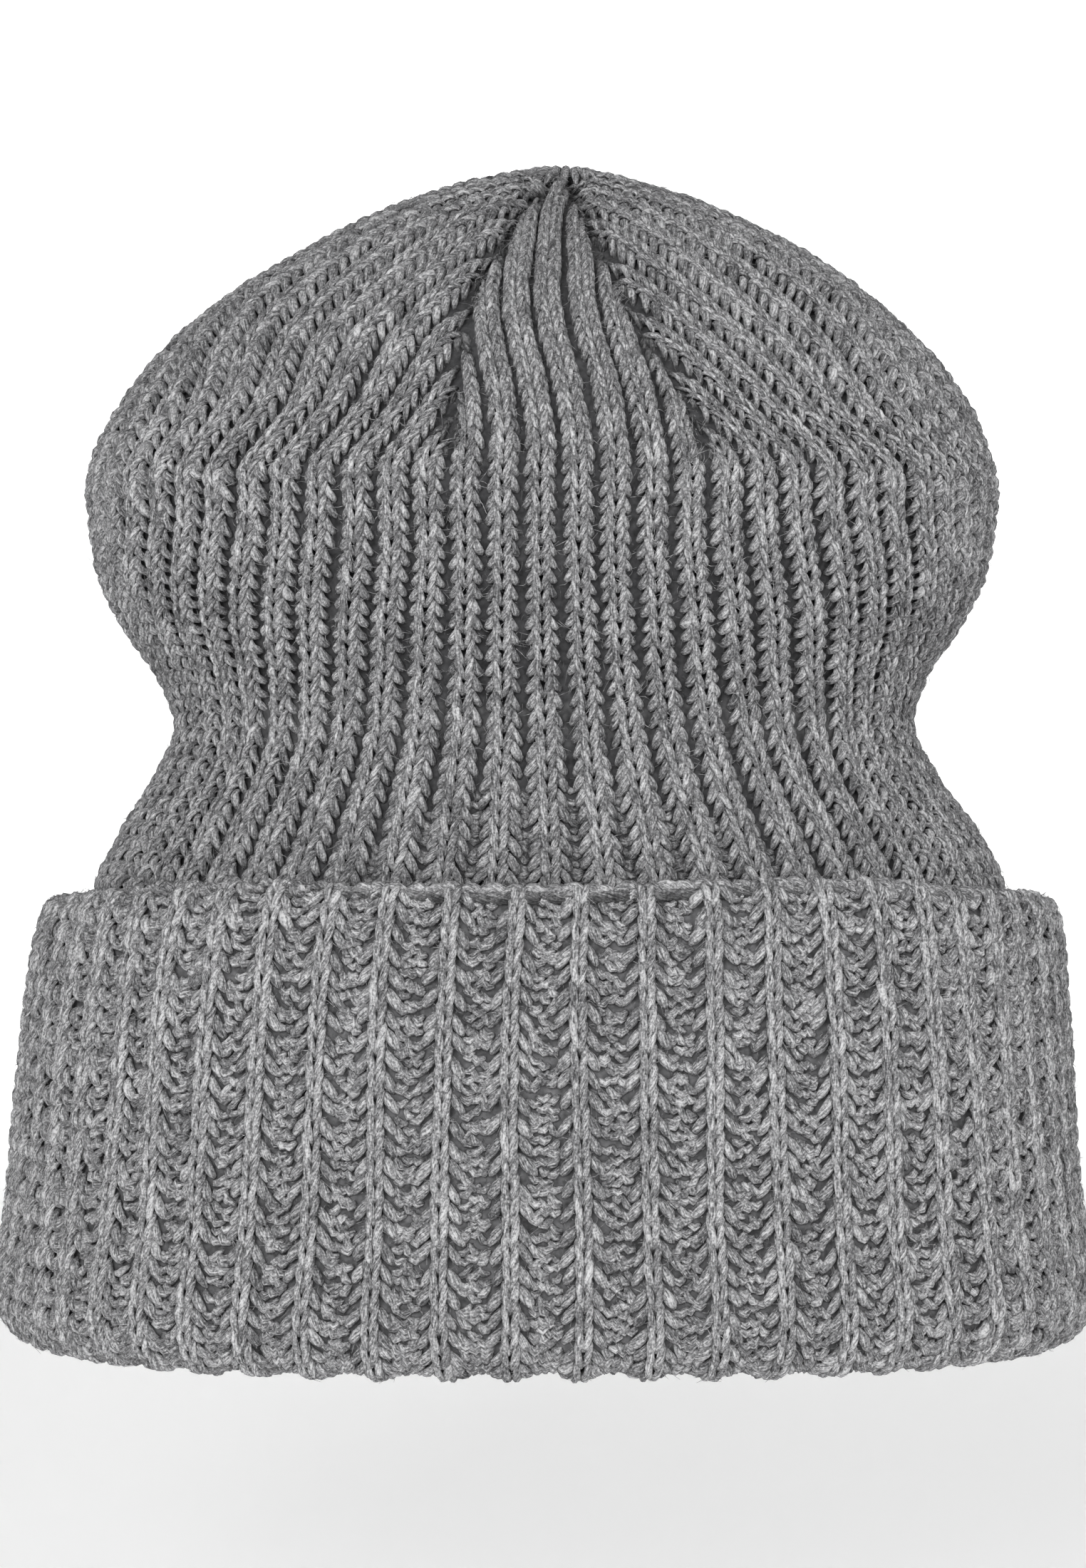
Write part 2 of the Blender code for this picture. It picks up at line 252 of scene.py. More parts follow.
# ribs of a wide side panel that have already ended in its dart, by height
ENDED = pchip(
    [143.6, 149, 155, 166, 180, 190, 196, 199.5, 202],
    [0.0, 0.3, 0.9, 2.1, 3.5, 4.6, 6.0, 7.8, 10.0],
)
# how the rest are spread over the panel, by height; two harmonics
LOOSE_1 = pchip([143.6, 149, 155, 160, 166, 173, 180, 193, 202], [0.13, 0.20, 0.235, 0.16, 0.0, -0.20, -0.42, -0.62, -0.62])
LOOSE_2 = pchip([143.6, 166, 173, 180, 193, 202], [0.0, -0.04, -0.18, -0.30, -0.18, -0.10])
# spacing of the narrow panels' ribs, by height
NARROW_PITCH = pchip([143.6, 152, 160, 172, 184, 195, 202], [5.9, 5.75, 5.6, 5.2, 4.7, 4.2, 3.9])


# -------------------------------------------------- cuff's form, lip to top
def cuff_form():
    c = np.array(CUFF_LINE)
    d = np.concatenate([[0], np.cumsum(np.hypot(np.diff(c[:, 0]), np.diff(c[:, 1])))])
    fa, fz = pchip(d, c[:, 0]), pchip(d, c[:, 1])
    m = np.linspace(0, d[-1], 190)
    a, z = fa(m), fz(m)
    x0, _, _ = ring(86.0, 61.0, 2.6)
    drop = SIDE_DROP * np.minimum(1, np.abs(x0) / 86.0) ** 5
    rings = []
    for aa, zz in zip(a, z):
        x, y, _ = ring(aa, aa - 25.0, 2.6)
        share = smoothstep(np.array(zz), 30.0, 78.0) if aa > 83 and zz > 20 else 0.0
        rings.append(np.column_stack([x + centre_x(zz), y, zz - drop * share]))
    return Form(m, rings), m, z


CUFF, CUFF_M, CUFF_Z = cuff_form()
wobc = soft_noise(CUFF.P.reshape(-1, 3), 70.0, 8).reshape(CUFF.P.shape[:2])
fade = smoothstep(CUFF_M, 14, 40)[:, None]
CUFF.P = CUFF.P + CUFF.N * (0.6 * wobc * fade)[..., None]


# ---------------------------------------------------------------- rib paths
class Path:
    """A rib's centre line with its local frame, by length s along it."""

    def __init__(self, P, N, pitch):
        seg = np.linalg.norm(np.diff(P, axis=0), axis=1)
        self.s = np.concatenate([[0], np.cumsum(seg)])
        T = np.gradient(P, self.s, axis=0)
        T /= np.linalg.norm(T, axis=1, keepdims=True)
        B = np.cross(T, N)
        B /= np.linalg.norm(B, axis=1, keepdims=True)
        self.P, self.N, self.T, self.B, self.pitch = P, N, T, B, pitch
        self.length = self.s[-1]

    def at(self, s):
        """Linear interpolation of every column at lengths s (any shape)."""
        s = np.clip(s, 0, self.length)
        j = np.clip(np.searchsorted(self.s, s, side="right") - 1, 0, len(self.s) - 2)
        f = ((s - self.s[j]) / (self.s[j + 1] - self.s[j]))[..., None]
        mix = lambda A: A[j] * (1 - f) + A[j + 1] * f
        return mix(self.P), mix(self.N), mix(self.B), (self.pitch[j] * (1 - f[..., 0]) + self.pitch[j + 1] * f[..., 0])


def panel_of(q):
    """0 front, 1 right, 2 back, 3 left, and the rib's offset from its middle."""
    mid, half = (DART_LEFT + DART_RIGHT) / 2, (DART_RIGHT - DART_LEFT) / 2
    for k, c in enumerate((mid, RIBS / 4 + mid, RIBS / 2 + mid, 3 * RIBS / 4 + mid)):
        d = (q - c + RIBS / 2) % RIBS - RIBS / 2
        if abs(d) < (half if k % 2 == 0 else RIBS / 4 - half):
            return k, d
    raise ValueError(q)


def crown_u(q, z):
    """Arc fraction of rib q on the crown at heights z.  The few ribs of a
    narrow panel stay almost parallel; those of a wide one slant across to
    its darts and end in them one after another."""
    k, d = panel_of(q % RIBS)
    if k % 2 == 0:
        per = np.interp(z, BODY_Z, BODY_PER)
        return dart_mid(z) + k / 4 + d * NARROW_PITCH(z) / per
    left = RIBS / 4 - (DART_RIGHT - DART_LEFT) / 2 - ENDED(z)
    t = np.clip(np.abs(d) / left, 0, 1.25)
    g = t + LOOSE_1(z) * np.sin(np.pi * t) / np.pi + LOOSE_2(z) * np.sin(2 * np.pi * t) / (2 * np.pi)
    return dart_mid(z) + k / 4 + np.sign(d) * (0.25 - dart_half(z)) * g


def side_gap(u, z):
    """Distance into the narrow panels from the nearest dart along the ring,
    in millimetres; negative in the wide side panels."""
    per = np.interp(z, BODY_Z, BODY_PER)
    best = np.full(np.shape(u), -1e9)
    for turn in (0.0, 0.5):
        d = np.mod(u - dart_mid(z) - turn + 0.5, 1.0) - 0.5
        best = np.maximum(best, (dart_half(z) - np.abs(d)) * per)
    return best


def crease(u, z, deep, wide):
    """How far the fabric is pulled in along the darts, and puckered where
    they begin."""
    gap = side_gap(u, z)
    line = np.exp(-((gap / wide) ** 2)) * smoothstep(z, DART - 5, DART + 5)
    pucker = np.exp(-((gap / 3.4) ** 2) - ((z - DART - 2.0) / 4.5) ** 2)
    return deep * np.clip(line + 0.45 * pucker, 0, 1.15)


MS = np.concatenate([np.arange(0, M_WIDE, 1.0), np.arange(M_WIDE, M_TOP - 2.0, 0.5)])


def rib_u(q):
    """Arc fraction of rib q at every step of MS, near q / RIBS."""
    z = z_of_m(MS)
    near = lambda u: q / RIBS + (np.mod(u - q / RIBS + 0.5, 1.0) - 0.5)
    w = smoothstep(z, WIDEST - 3.0, WIDEST + 7.0)
    return near(u_even(q, z)) * (1 - w) + near(crown_u(q, np.maximum(z, WIDEST))) * w


def body_paths():
    """All rib centre lines of the body and crown."""
    us = {i: rib_u(float(i)) for i in range(-1, RIBS + 1)}
    wander = rng.normal(size=(RIBS, 4))
    z = z_of_m(MS)
    out = []
    for i in range(RIBS):
        k, d = panel_of(float(i))
        u = us[i].copy()
        w = wander[i]
        u = u + (0.2 * np.sin(MS / 31.0 + w[0] * 3) + 0.12 * np.sin(MS / 13.0 + w[1] * 3)) / per_of_m(MS) * smoothstep(MS, 60, 90)
        gap = side_gap(u, z) * (1 if k % 2 == 0 else -1)
        beyond = (gap < -3.2) & (z > DART + 1.0)
        P, N = BODY.point(u, MS), BODY.normal(u, MS)
        T = np.gradient(P, axis=0)
        T /= np.linalg.norm(T, axis=1, keepdims=True)
        perp = lambda e: np.linalg.norm(e - (e * T).sum(1, keepdims=True) * T, axis=1)
        near = []
        for j in (i - 1, i + 1):
            same = panel_of(float(j) % RIBS)[0] == k
            v = np.where((z < DART) | same, us[j], np.nan)
            near.append(perp(BODY.point(np.nan_to_num(v), MS) - P) + 0 * v)
        pitch = np.nanmean(np.stack(near), axis=0)
        pitch = np.clip(pitch, 2.2, 11)
        # decreases: every other rib of a wide panel runs out where they crowd
        crowded = (pitch < 3.1) & (z > 171) & (int(round(abs(d))) % 2 == 1) & (k % 2 == 1)
        tip = BODY_A(z) < 8.5
        bad = np.where(beyond | crowded | tip)[0]
        last = bad[0] if len(bad) else len(MS)
        pitch[crowded_after(pitch, z, k)] *= 1.6
        path = Path(P[:last], N[:last], pitch[:last])
        path.u, path.m, path.panel = u[:last], MS[:last], k
        alive = (np.arange(len(MS)) < last) & ((gap > 0) | (z < DART))
        RIB_U[i, alive] = np.mod(us[i][alive], 1.0)
        out.append(path)
    return out


RIB_U = np.full((RIBS, len(MS)), np.nan)


def rib_phase(u, m):
    """Whole numbers on the ribs' middles, halves in the grooves, at one m."""
    ribs = RIB_U[:, int(np.argmin(np.abs(MS - m)))]
    ribs = np.sort(ribs[~np.isnan(ribs)])
    if len(ribs) == 0:
        return np.zeros(np.shape(u))
    ribs = np.concatenate([ribs - 1, ribs, ribs + 1])
    return np.interp(np.mod(u, 1.0), ribs, np.arange(len(ribs)))


def crowded_after(pitch, z, k):
    """Where a wide panel's ribs have halved in number."""
    return (pitch < 3.1) & (z > 171) & (k % 2 == 1)


BODY_A = lambda z: section(z)[0]


def cuff_paths():
    out = []
    wander = rng.normal(size=(RIBS, 4))
    ms = np.arange(0, CUFF_M[-1] + 0.01, 0.8)
    ms[-1] = CUFF_M[-1]
    for i in range(RIBS):
        q = i + 0.5
        w = wander[i]
        shift = (0.28 * np.sin(ms / 23.0 + w[0] * 3) + 0.2 * np.sin(ms / 11.0 + w[1] * 3)) / 520.0
        u0 = u_even(q, 40.0)
        u = np.full(len(ms), u0) + shift
        P, N = CUFF.point(u, ms), CUFF.normal(u, ms)
        lo_n = CUFF.point(np.full(len(ms), u_even(q - 1, 40.0)), ms)
        hi_n = CUFF.point(np.full(len(ms), u_even(q + 1, 40.0)), ms)
        pitch = 0.5 * (np.linalg.norm(lo_n - P, axis=1) + np.linalg.norm(hi_n - P, axis=1))
        path = Path(P, N, pitch)
        path.u, path.m, path.panel = u, ms, -1
        out.append(path)
    return out


# ------------------------------------------------------------------ strands
class Strands:
    """Collects yarn strands; strands_mesh turns them into closed tube meshes."""

    def __init__(self):
        self.P, self.N, self.R, self.deep = [], [], [], []
        self.seed, self.tone, self.group, self.flat = [], [], [], []

    def add(self, P, N, R, group, tone=0.0, flat=1.0, deep=-1.0):
        """P, N: n x K x 3; R: n x K; group: n ints; deep: mm below the form."""
        n = len(P)
        self.deep.append(np.broadcast_to(deep, R.shape).copy())
        self.P.append(P)
        self.N.append(N)
        self.R.append(R)
        self.group.append(np.broadcast_to(group, (n,)))
        self.seed.append(rng.uniform(0, 100, n))
        self.tone.append(tone + rng.normal(0, 1, n))
        self.flat.append(np.full(n, flat))

    def arrays(self):
        return [np.concatenate(x) for x in (self.P, self.N, self.R, self.deep, self.seed, self.tone, self.group, self.flat)]


def strands_mesh(name, P, N, R, deep, seed, tone, flat, around, mat):
    """n strands of K points become n closed tubes in one mesh."""
    n, K, _ = P.shape
    T = np.gradient(P, axis=1)
    T /= np.maximum(np.linalg.norm(T, axis=2, keepdims=True), 1e-9)
    side = np.cross(T, N)
    side /= np.maximum(np.linalg.norm(side, axis=2, keepdims=True), 1e-9)
    up = np.cross(side, T)
    ang = (np.arange(around) / around) * 2 * math.pi - math.pi / 2
    ca, sa = np.cos(ang), np.sin(ang)
    rings = (
        P[:, :, None, :]
        + R[:, :, None, None] * (ca[None, None, :, None] * side[:, :, None, :]
        + (sa[None, None, :, None] * up[:, :, None, :]) * flat[:, None, None, None])
    )
    start = P[:, :1] - T[:, :1] * R[:, :1, None] * 0.8
    end = P[:, -1:] + T[:, -1:] * R[:, -1:, None] * 0.8
    verts = np.concatenate([rings.reshape(n, K * around, 3), start, end], axis=1)
    per = K * around + 2
    k, a = np.meshgrid(np.arange(K - 1), np.arange(around), indexing="ij")
    a2 = (a + 1) % around
    quads = np.stack([k * around + a, k * around + a2, (k + 1) * around + a2, (k + 1) * around + a], -1).reshape(-1, 4)
    a = np.arange(around)
    a2 = (a + 1) % around
    cap0 = np.stack([np.full(around, K * around), a2, a], -1)
    cap1 = np.stack([np.full(around, K * around + 1), (K - 1) * around + a, (K - 1) * around + a2], -1)
    tris = np.concatenate([cap0, cap1])
    off = (np.arange(n) * per)[:, None, None]
    loops = np.concatenate([(quads[None] + off).reshape(n, -1), (tris[None] + off).reshape(n, -1)], axis=1).ravel()
    nq, nt = len(quads), len(tris)
    sizes = np.tile(np.concatenate([np.full(nq, 4), np.full(nt, 3)]), n)
    starts = np.concatenate([[0], np.cumsum(sizes)[:-1]])

    # along and around, in millimetres, for the fibre texture
    length = np.concatenate([np.zeros((n, 1)), np.cumsum(np.linalg.norm(np.diff(P, axis=1), axis=2), axis=1)], axis=1)
    kq, aq = np.meshgrid(np.arange(K - 1), np.arange(around), indexing="ij")
    kk = np.stack([kq, kq, kq + 1, kq + 1], -1).reshape(-1)
    aa = np.stack([aq, aq + 1, aq + 1, aq], -1).reshape(-1)
    rmax = R.max(axis=1)
    lu = length[:, kk]
    lv = (aa / around)[None] * (2 * math.pi * rmax[:, None])
    ta = np.arange(around)
    tk = np.concatenate([np.stack([np.full(around, 0)] * 3, -1).reshape(-1), np.stack([np.full(around, K - 1)] * 3, -1).reshape(-1)])
    tav = np.concatenate([np.stack([ta + 0.5, ta + 1, ta], -1).reshape(-1), np.stack([ta + 0.5, ta, ta + 1], -1).reshape(-1)])
    tu = length[:, tk].copy()
    tip = np.zeros(len(tk), bool)
    tip[0 : 3 * around : 3] = True
    tip[3 * around :: 3] = True
    sgn = np.where(np.arange(len(tk)) < 3 * around, -1.0, 1.0)
    tu = tu + np.where(tip, sgn, 0.0)[None] * (0.8 * R[:, [0]] * (sgn < 0) + 0.8 * R[:, [-1]] * (sgn > 0))
    tv = (tav / around)[None] * (2 * math.pi * rmax[:, None])
    yarn = np.stack([np.concatenate([lu, tu], 1), np.concatenate([lv, tv], 1)], -1).reshape(-1, 2)

    # one cell per strand for baking
    cols = int(math.ceil(math.sqrt(n)))
    cell = 1.0 / cols
    cx, cy = (np.arange(n) % cols) * cell, (np.arange(n) // cols) * cell
    fu = (np.concatenate([lu, tu], 1) + R[:, [0]]) / (length[:, [-1]] + R[:, [0]] + R[:, [-1]])
    fv = np.concatenate([np.broadcast_to((aa / around)[None], lu.shape), np.broadcast_to((tav / around)[None], tu.shape)], 1)
    bake = np.stack([cx[:, None] + cell * (0.04 + 0.92 * fu), cy[:, None] + cell * (0.04 + 0.92 * fv)], -1).reshape(-1, 2)

    mesh = bpy.data.meshes.new(name)
    mesh.vertices.add(n * per)
    mesh.vertices.foreach_set("co", (verts.reshape(-1, 3) * 0.001).astype(np.float32).ravel())
    mesh.loops.add(len(loops))
    mesh.loops.foreach_set("vertex_index", loops.astype(np.int32))
    mesh.polygons.add(len(sizes))
    mesh.polygons.foreach_set("loop_start", starts.astype(np.int32))
    mesh.polygons.foreach_set("loop_total", sizes.astype(np.int32))
    mesh.update(calc_edges=True)
    mesh.shade_smooth()
    layer = mesh.uv_layers.new(name="yarn")
    layer.data.foreach_set("uv", yarn.astype(np.float32).ravel())
    layer = mesh.uv_layers.new(name="OFBake")
    layer.data.foreach_set("uv", bake.astype(np.float32).ravel())
    at = mesh.attributes.new("seed", "FLOAT", "POINT")
    at.data.foreach_set("value", np.repeat(seed, per).astype(np.float32))
    at = mesh.attributes.new("tone", "FLOAT", "POINT")
    at.data.foreach_set("value", np.repeat(tone, per).astype(np.float32))
    # depth of each point below the form; the yarn material paints shade into the colour of deep-lying yarn from it
    low = (deep[:, :, None] + R[:, :, None] * sa[None, None, :]).reshape(n, -1)
    at = mesh.attributes.new("deep", "FLOAT", "POINT")
    at.data.foreach_set("value", np.concatenate([low, deep[:, :1], deep[:, -1:]], axis=1).astype(np.float32).ravel())
    mesh.materials.append(mat)
    obj = bpy.data.objects.new(name, mesh)
    bpy.context.scene.collection.objects.link(obj)
    return obj


def make_pieces(prefix, strands, around, mat, body):
    P, N, R, deep, seed, tone, group, flat = strands.arrays()
    for g in sorted(set(group.tolist())):
        k = group == g
        obj = strands_mesh(f"{prefix}_{g + 1:02d}", P[k], N[k], R[k], deep[k], seed[k], tone[k], flat[k], around, mat)
        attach(obj, body)


# Stitch parts.  Columns: t in rows, across (mm, or 0-1 of the flank), out and
# radius in mm.  A leg of the middle chain:
CHAIN = np.array([
    (-0.86, 0.12, -1.90, 0.27), (-0.58, 0.28, -0.92, 0.47), (-0.16, 0.54, -0.32, 0.55),
    (0.22, 0.80, -0.20, 0.55), (0.56, 0.98, -0.52, 0.52), (0.88, 0.96, -1.60, 0.34),
])
# the plump strand beside the chain, running down and away from it
FLANK = np.array([
    (0.58, 0.00, -2.00, 0.34), (0.34, 0.20, -1.26, 0.64), (0.08, 0.44, -1.06, 0.76),
    (-0.18, 0.68, -1.50, 0.76), (-0.40, 0.88, -2.30, 0.66), (-0.58, 1.00, -3.20, 0.40),
])
CUFF_CHAIN = np.array([
    (-0.88, 0.12, -2.00, 0.27), (-0.58, 0.28, -0.85, 0.45), (-0.18, 0.50, -0.22, 0.54),
    (0.20, 0.72, -0.16, 0.54), (0.56, 0.84, -0.56, 0.49), (0.88, 0.76, -1.70, 0.31),
])
CUFF_FLANK = np.array([
    (0.52, 0.00, -2.00, 0.34), (0.32, 0.20, -1.22, 0.63), (0.10, 0.44, -0.98, 0.76),
    (-0.12, 0.68, -1.08, 0.76), (-0.32, 0.88, -1.46, 0.63), (-0.48, 1.00, -2.20, 0.34),
])
# a purl bump across the channel: a little hammock
BUMP = np.array([
    (0.20, -1.08, -2.40, 0.32), (0.07, -0.60, -1.58, 0.57), (-0.04, 0.0, -1.28, 0.66),
    (0.05, 0.60, -1.58, 0.57), (0.16, 1.08, -2.40, 0.32),
])


def lay(path, s, row, shape, mirror, strands, group, across, jitter=0.05, tone=0.0, b0=0.0, t0=0.0, tilt=0.0, lift=None):
    """Lay one strand per position s on a rib.  across(shape's b, pitch) gives
    millimetres; tilt is the spread of each strand's own slant."""
    if len(s) == 0:
        return
    n, K = len(s), len(shape)
    t = shape[:, 0][None] * row + t0 * row + rng.normal(0, jitter, (n, 1)) * row
    P, N, B, pitch = path.at(s[:, None] + t)
    b = across(np.repeat(shape[:, 1][None], n, 0), pitch)
    t_extra = rng.normal(0, 1, (n, 1)) * tilt * b
    if tilt:
        P, N, B, pitch = path.at(s[:, None] + t + t_extra)
    b = b * (1 + rng.normal(0, jitter, (n, 1)))
    b = (b + (b0(pitch) if callable(b0) else b0)) * (-1.0 if mirror else 1.0)
    h = np.repeat(shape[:, 2][None], n, 0)
    if lift is not None:
        h = h + lift(pitch)
    h = h + rng.normal(0, 0.08, (n, 1)) - b * b / 130.0
    r = shape[:, 3][None] * (1 + rng.normal(0, 0.08, (n, 1))) * np.clip(pitch / 6.0, 0.42, 1.2) ** 0.8
    if path.panel >= 0:
        along = np.interp(s[:, None] + t, path.s, np.arange(len(path.s)))
        u, m = np.interp(along, np.arange(len(path.u)), path.u), np.interp(along, np.arange(len(path.m)), path.m)
        E = BODY.point(u + 0.002, m) - BODY.point(u - 0.002, m)
        E /= np.linalg.norm(E, axis=-1, keepdims=True)
        u = u + b * (B * E).sum(-1) / per_of_m(m)
        U = BODY.point(u, m + 0.5) - BODY.point(u, m - 0.5)
        U /= np.linalg.norm(U, axis=-1, keepdims=True)
        z = z_of_m(m + b * (B * U).sum(-1))
        gap = side_gap(u, z) * (1 if path.panel % 2 == 0 else -1)
        h = h - crease(u, z, 2.5, 1.9)
        mid = K // 2
        keep = (gap[:, mid] > 0.25) | (z[:, mid] < DART + 0.5)
        P, N, B, b, h, r = P[keep], N[keep], B[keep], b[keep], h[keep], r[keep]
        group = group if np.isscalar(group) else group[keep]
    X = P + B * b[..., None] + N * h[..., None]
    if len(X):
        strands.add(X, N, r, np.full(len(X), group), tone, 1.0, h)


def body_chain(b, pitch):
    return b * np.clip(pitch / 5.6, 0.42, 1.25)


def body_flank(f, pitch):
    start = 0.86 * np.clip(pitch / 5.6, 0.42, 1.25)
    return start + (np.clip(0.36 * pitch + 0.10 * np.clip(pitch - 5.8, 0, 3), 0.7, 3.4) - start) * f


def cuff_chain_across(b, pitch):
    return b * np.clip(pitch / 6.5, 0.5, 1.12)


def cuff_flank(f, pitch):
    start = 0.92 * np.clip(pitch / 6.5, 0.5, 1.05)
    return start + (np.clip(0.32 * pitch, 0.8, 3.2) - start) * f


def as_is(b, pitch):
    return b


def rows_on(path, row, start=0.6, stop=None):
    stop = path.length if stop is None else stop
    n = max(int((stop - start) / row), 0)
    return start + np.arange(n) * row


def sector(i, count):
    return int(i * count // RIBS)


# ---------------------------------------------------------------- materials
def links(tree, pairs):
    for a, b in pairs:
        tree.links.new(a, b)


def yarn_material(name, dark, mid, light, contrast=1.0):
    m = bpy.data.materials.new(name)
    m.use_nodes = True
    t = m.node_tree
    N = t.nodes
    bsdf = N["Principled BSDF"]
    bsdf.inputs["Roughness"].default_value = 0.92
    bsdf.inputs["Specular IOR Level"].default_value = 0.25
    bsdf.inputs["Sheen Weight"].default_value = 0.06
    bsdf.inputs["Sheen Roughness"].default_value = 0.45
    bsdf.inputs["Sheen Tint"].default_value = (0.9, 0.9, 0.92, 1)
    uv = N.new("ShaderNodeUVMap")
    uv.uv_map = "yarn"
    seed = N.new("ShaderNodeAttribute")
    seed.attribute_name = "seed"
    tone = N.new("ShaderNodeAttribute")
    tone.attribute_name = "tone"
    sep = N.new("ShaderNodeSeparateXYZ")
    links(t, [(uv.outputs["UV"], sep.inputs[0])])

    def fibre(along, across, twist, zoff, detail):
        """Noise drawn out along the strand, slanted by the yarn's twist."""
        tw = N.new("ShaderNodeMath")
        tw.operation = "MULTIPLY_ADD"
        tw.inputs[1].default_value = twist
        links(t, [(sep.outputs[0], tw.inputs[0]), (sep.outputs[1], tw.inputs[2])])
        u = N.new("ShaderNodeMath")
        u.operation = "MULTIPLY"
        u.inputs[1].default_value = along
        v = N.new("ShaderNodeMath")
        v.operation = "MULTIPLY"
        v.inputs[1].default_value = across
        z = N.new("ShaderNodeMath")
        z.operation = "ADD"
        z.inputs[1].default_value = zoff
        c = N.new("ShaderNodeCombineXYZ")
        n = N.new("ShaderNodeTexNoise")
        n.inputs["Scale"].default_value = 1.0
        n.inputs["Detail"].default_value = detail
        n.inputs["Roughness"].default_value = 0.62
        links(t, [
            (sep.outputs[0], u.inputs[0]), (tw.outputs[0], v.inputs[0]), (seed.outputs["Fac"], z.inputs[0]),
            (u.outputs[0], c.inputs[0]), (v.outputs[0], c.inputs[1]), (z.outputs[0], c.inputs[2]),
            (c.outputs[0], n.inputs["Vector"]),
        ])
        return n.outputs["Fac"]

    coarse = fibre(0.55, 2.9, 0.38, 0.0, 2.0)
    fine = fibre(1.1, 6.5, 0.30, 17.0, 2.0)

    def mix(a, b, w):
        x = N.new("ShaderNodeMix")
        x.data_type = "FLOAT"
        x.inputs["Factor"].default_value = w
        links(t, [(a, x.inputs[2]), (b, x.inputs[3])])
        return x.outputs[0]

    both = mix(coarse, fine, 0.5)
    # blotches where a darker or lighter tuft was spun in
    geo = N.new("ShaderNodeTexCoord")
    blot = N.new("ShaderNodeTexNoise")
    blot.inputs["Scale"].default_value = 240.0
    blot.inputs["Detail"].default_value = 2.0
    links(t, [(geo.outputs["Object"], blot.inputs["Vector"])])
    both = mix(both, blot.outputs["Fac"], 0.12)
    wool = N.new("ShaderNodeTexNoise")
    wool.inputs["Scale"].default_value = 2600.0
    wool.inputs["Detail"].default_value = 2.0
    links(t, [(geo.outputs["Object"], wool.inputs["Vector"])])
    both = mix(both, wool.outputs["Fac"], 0.30)
    add = N.new("ShaderNodeMath")
    add.operation = "MULTIPLY_ADD"
    add.inputs[1].default_value = 0.016
    links(t, [(tone.outputs["Fac"], add.inputs[0]), (both, add.inputs[2])])
    ramp = N.new("ShaderNodeValToRGB")
    e = ramp.color_ramp.elements
    lo, hi = 0.5 - 0.095 / contrast, 0.5 + 0.105 / contrast
    e[0].position, e[0].color = lo, (*dark, 1)
    e[1].position, e[1].color = hi, (*light, 1)
    k = e.new(0.5)
    k.color = (*mid, 1)
    # painted shade: yarn lying deep between the ribs is darkened in its colour by its depth, standing in for the shadow
    # in the grooves
    deep = N.new("ShaderNodeAttribute")
    deep.attribute_name = "deep"
    depth_shade_ramp = N.new("ShaderNodeMapRange")
    depth_shade_ramp.interpolation_type = "SMOOTHSTEP"
    depth_shade_ramp.inputs["From Min"].default_value = -3.1
    depth_shade_ramp.inputs["From Max"].default_value = -1.5
    depth_shade_ramp.inputs["To Min"].default_value = 0.30
    depth_shade_ramp.inputs["To Max"].default_value = 1.0
    shade = N.new("ShaderNodeMix")
    shade.data_type = "RGBA"
    shade.blend_type = "MULTIPLY"
    shade.inputs["Factor"].default_value = 1.0
    links(t, [
        (add.outputs[0], ramp.inputs["Fac"]), (deep.outputs["Fac"], depth_shade_ramp.inputs["Value"]),
        (ramp.outputs["Color"], shade.inputs[6]), (depth_shade_ramp.outputs[0], shade.inputs[7]),
        (shade.outputs[2], bsdf.inputs["Base Color"]),
    ])
    bump = N.new("ShaderNodeBump")
    bump.inputs["Strength"].default_value = 0.75
    bump.inputs["Distance"].default_value = 0.00035
    links(t, [(mix(mix(coarse, fine, 0.5), wool.outputs["Fac"], 0.35), bump.inputs["Height"]), (bump.outputs["Normal"], bsdf.inputs["Normal"])])
    return m


GREY = dict(dark=(0.045, 0.045, 0.047), mid=(0.195, 0.195, 0.199), light=(0.52, 0.52, 0.525))
knit_mat = yarn_material("grey_marl_yarn", **GREY)
fuzz_mat = yarn_material("grey_marl_fibres", (0.10, 0.10, 0.103), (0.21, 0.21, 0.214), (0.42, 0.42, 0.424))


def backing_material(name, base):
    """The ground behind the stitches: same yarn, seen deep down; the base colour given sets how much shade is painted
    into it.
    """
    m = bpy.data.materials.new(name)
    m.use_nodes = True
    t, N = m.node_tree, m.node_tree.nodes
    bsdf = N["Principled BSDF"]
    bsdf.inputs["Roughness"].default_value = 0.95
    bsdf.inputs["Specular IOR Level"].default_value = 0.15
    bsdf.inputs["Sheen Weight"].default_value = 0.2
    geo = N.new("ShaderNodeTexCoord")
    a = N.new("ShaderNodeTexNoise")
    a.inputs["Scale"].default_value = 900.0
    a.inputs["Detail"].default_value = 3.0
    b = N.new("ShaderNodeTexNoise")
    b.inputs["Scale"].default_value = 260.0
    links(t, [(geo.outputs["Object"], a.inputs["Vector"]), (geo.outputs["Object"], b.inputs["Vector"])])
    x = N.new("ShaderNodeMix")
    x.data_type = "FLOAT"
    x.inputs["Factor"].default_value = 0.4
    links(t, [(a.outputs["Fac"], x.inputs[2]), (b.outputs["Fac"], x.inputs[3])])
    ramp = N.new("ShaderNodeValToRGB")
    e = ramp.color_ramp.elements
    e[0].position, e[0].color = 0.33, tuple(0.35 * c for c in base) + (1,)
    e[1].position, e[1].color = 0.68, tuple(1.5 * c for c in base) + (1,)
    bump = N.new("ShaderNodeBump")
    bump.inputs["Strength"].default_value = 0.8
    bump.inputs["Distance"].default_value = 0.0004
    links(t, [
        (x.outputs[0], ramp.inputs["Fac"]), (ramp.outputs["Color"], bsdf.inputs["Base Color"]),
        (x.outputs[0], bump.inputs["Height"]), (bump.outputs["Normal"], bsdf.inputs["Normal"]),
    ])
    return m


